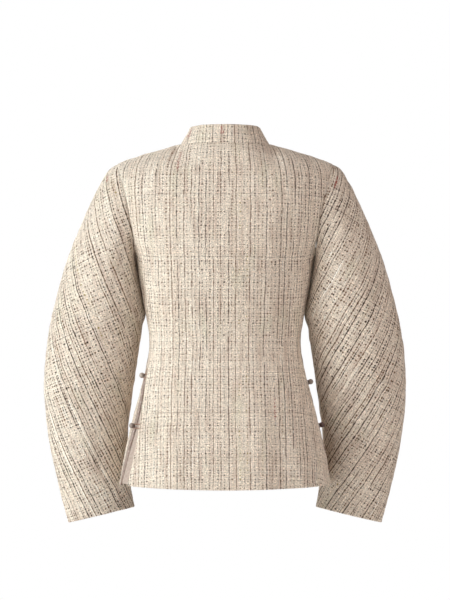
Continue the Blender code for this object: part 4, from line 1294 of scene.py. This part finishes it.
def makeSideClosures():
    sizes = closures
    for side, number, height, toneAndShade in sizes["side"]:
        level = levelAtHeight(side, height, float(ventEdges(side, np.array(2.0))[0]))
        backEdge, frontEdge = (float(edge) for edge in ventEdges(side, np.array(level)))
        angle = float(arcAngle(side, level, frontEdge, sizes["inset"]))
        rise = bodyPoint(side, level + sizes["levelStep"], angle)[2] - bodyPoint(side, level, angle)[2]

        def place(across, along):
            at = float(arcAngle(side, level, angle, -across))
            atLevel = level + sizes["levelStep"] * along / rise
            out = sizes["seatGap"] + sizes["cordRadius"]
            return bodyPoint(side, atLevel, at) + bodyNormal(side, atLevel, at) * out
        seat = bodyPoint(side, level, angle)
        reach = np.linalg.norm(seat - bodyPoint(side, level, backEdge)) + sizes["sewnLength"]
        makeClosure("side_button_%s_%d" % (sideNames[side], number), seat, bodyNormal(side, level, angle), place,
                    reach, toneAndShade)


def makeFrontClosures():
    sizes = closures
    line = halfPanel(leftSide, frontFace, np.linspace(0.0, topLevel, sizes["edgeRows"]), np.zeros(1))[:, 0]
    across = np.array([1.0, 0.0, 0.0])
    for number, (height, toneAndShade) in enumerate(sizes["front"], start=1):
        above = int(np.searchsorted(line[:, 2], height))
        up = unit(line[above] - line[above - 1])
        outward = np.cross(up, across)
        outward *= -math.copysign(1.0, outward[1])
        seat = np.array([sizes["inset"], np.interp(height, line[:, 2], line[:, 1]), height])
        lifted = seat + outward * (sizes["seatGap"] + sizes["cordRadius"])
        makeClosure("front_button_%d" % number, seat, outward,
                    lambda toBack, toTop: lifted - across * toBack + up * toTop,
                    sizes["inset"] + sizes["sewnLength"], toneAndShade)


makeSideClosures()
makeFrontClosures()
print("buttons and loops made")

slubs = {
    "density": 2600.0, "length": 0.0019, "thickness": 0.00036, "border": 2,
    "smallest": (0.55, 0.55, 0.25), "largest": (1.3, 1.3, 1.6), "segments": 6, "rings": 5, "toneSeed": 77,
    "seeds": {"back": 11, "front_left": 12, "front_right": 13, "collar": 14, "sleeve_back_left": 15,
              "sleeve_back_right": 16, "sleeve_front_left": 17, "sleeve_front_right": 18},
}


def makeSlubTree():
    # small stretched balls strewn over the cloth, lying along its grain
    tree, given, result = newTree("GeometryNodeTree", "scatterSlubs", [
        ("Geometry", "Geometry"), ("Density", "Float", 2000.0), ("Length", "Float", 0.002),
        ("Thickness", "Float", 0.0004), ("Seed", "Int", 0), ("Material", "Material"),
    ], [("Geometry", "Geometry")])

    def made(kind, inputs, output=0, **settings):
        return nodeValue(addNode(tree, kind, inputs, **settings).outputs[output])
    spread = made("GeometryNodeDistributePointsOnFaces", {
        "Mesh": given["Geometry"], "Density": given["Density"], "Seed": given["Seed"]}, "Points")
    grain = made("GeometryNodeInputNamedAttribute", {"Name": "grain"}, data_type="FLOAT_VECTOR")
    turn = made("FunctionNodeAlignRotationToVector", {"Vector": grain}, axis="Z")
    ball = made("GeometryNodeMeshUVSphere", {"Segments": slubs["segments"], "Rings": slubs["rings"], "Radius": 1.0})
    stretch = made("FunctionNodeRandomValue", {"Min": slubs["smallest"], "Max": slubs["largest"],
                                               "Seed": given["Seed"]}, data_type="FLOAT_VECTOR")
    size = made("ShaderNodeCombineXYZ", {0: given["Thickness"], 1: given["Thickness"], 2: given["Length"]})
    scale = made("ShaderNodeVectorMath", {0: stretch, 1: size}, operation="MULTIPLY")
    placed = made("GeometryNodeInstanceOnPoints", {"Points": spread, "Instance": ball, "Rotation": turn,
                                                   "Scale": scale})
    tone = made("FunctionNodeRandomValue", {2: 0.0, 3: 1.0, "Seed": slubs["toneSeed"]}, 1, data_type="FLOAT")
    stored = made("GeometryNodeStoreNamedAttribute", {"Geometry": placed, "Name": "tone", "Value": tone},
                  data_type="FLOAT", domain="INSTANCE")
    feed(result["Geometry"], chain(tree, stored, ("GeometryNodeRealizeInstances", {}),
                                   ("GeometryNodeSetShadeSmooth", {}),
                                   ("GeometryNodeSetMaterial", {"Material": given["Material"]})))
    return tree


def grainWays(outer, flat):
    # direction of the warp at each point, in space
    alongPoint, acrossPoint = np.gradient(outer, axis=0), np.gradient(outer, axis=1)
    alongFlat, acrossFlat = np.gradient(flat, axis=0), np.gradient(flat, axis=1)
    cross = alongFlat[..., 0] * acrossFlat[..., 1] - alongFlat[..., 1] * acrossFlat[..., 0]
    return unit(alongPoint * (-acrossFlat[..., 0] / cross)[..., None]
                + acrossPoint * (alongFlat[..., 0] / cross)[..., None])


def makeSlubs():
    tree, border = makeSlubTree(), slubs["border"]
    for name, seed in slubs["seeds"].items():
        outer, flat = madeShells[name]
        index = np.arange(flat.size // 2).reshape(flat.shape[:2])[border:-border, border:-border]
        mesh = bpy.data.meshes.new(name + "_face")
        mesh.from_pydata((outer.reshape(-1, 3) * millimetre).tolist(), [], gridQuads(index).tolist())
        grain = mesh.attributes.new("grain", "FLOAT_VECTOR", "POINT")
        grain.data.foreach_set("vector", grainWays(outer, flat).astype(np.float32).ravel())
        made = runTree(name + "_slubs", mesh, tree, {
            "Density": slubs["density"], "Length": slubs["length"], "Thickness": slubs["thickness"],
            "Seed": seed, "Material": slubMaterial})
        bpy.data.meshes.remove(mesh)
        addPiece(name + "_slubs", made, slubMaterial, [])
        print(name, "slubs:", len(made.polygons), "faces")


makeSlubs()
print("slubs made")

studio = {
    "floorZ": -1.38, "floorHalf": 13.5, "floorGlow": 0.82,
    "distance": 12.0, "frameHeight": 1.02, "middleZ": -0.2669, "sensor": 24.0, "clipEnd": 100.0,
    "ambient": (0.12, 0.11, 0.105, 1.0), "white": (1.0, 1.0, 1.0, 1.0), "black": (0.0, 0.0, 0.0, 1.0),
    "lights": (  # name, power, place, size, colour
        ("keyLight", 229.0, (4.10, 2.00, 1.17), 2.2, (0.885, 0.972, 1.0)),
        ("fillLight", 99.0, (-3.40, 2.10, 2.40), 2.2, (1.0, 0.915, 0.89)),
        ("backLight", 51.0, (2.66, 3.80, 0.97), 2.4, (1.0, 0.97, 0.95)),
        ("frontLight", 290.0, (1.6, -4.8, 1.6), 3.0, (1.0, 0.99, 0.98)),
    ),
}


def seenByCamera(tree, otherwise, seen):
    return blend(source(tree, "ShaderNodeLightPath", "Is Camera Ray"), otherwise, seen)


def makeFloor():
    half, z = studio["floorHalf"], studio["floorZ"]
    mesh = bpy.data.meshes.new("studioFloor")
    mesh.from_pydata([(-half, -half, z), (half, -half, z), (half, half, z), (-half, half, z)], [], [(0, 1, 2, 3)])
    material, tree, surface = newMaterial("paleFloor")
    pale = blend(noise(objectPlace(tree), 1.2, 2.0), linearShade(236, 235, 232), linearShade(242, 241, 239))
    feed(surface["Base Color"], pale)
    # far from the lamps the floor stays as pale as near them
    feed(surface["Emission Color"], seenByCamera(tree, studio["black"], pale))
    feed(surface["Emission Strength"], studio["floorGlow"])
    mesh.materials.append(material)
    newObject("studioFloor", mesh)


def addLight(name, power, place, size, colour):
    light = bpy.data.lights.new(name, "AREA")
    light.shape, light.size, light.energy, light.color = "DISK", size, power, colour
    item = newObject(name, light)
    item.location = place
    aim = Vector((0.0, 0.0, studio["middleZ"])) - Vector(place)
    item.rotation_euler = aim.to_track_quat("-Z", "Y").to_euler()


def makeStudio():
    makeFloor()
    world = bpy.data.worlds.new("studio")
    bpy.context.scene.world = world
    world.use_nodes = True
    tree = world.node_tree
    feed(tree.nodes["Background"].inputs["Color"], seenByCamera(tree, studio["ambient"], studio["white"]))
    for light in studio["lights"]:
        addLight(*light)
    bpy.context.scene.view_settings.view_transform = "Standard"
    camera = bpy.data.cameras.new("camera")
    camera.sensor_fit = "VERTICAL"
    camera.sensor_height = studio["sensor"]
    camera.lens = studio["sensor"] * studio["distance"] / studio["frameHeight"]
    camera.clip_end = studio["clipEnd"]
    item = newObject("camera", camera)
    item.location = (0.0, studio["distance"], studio["middleZ"])
    item.rotation_euler = (math.radians(90.0), 0.0, math.radians(180.0))
    bpy.context.scene.camera = item


makeStudio()
print("studio made")
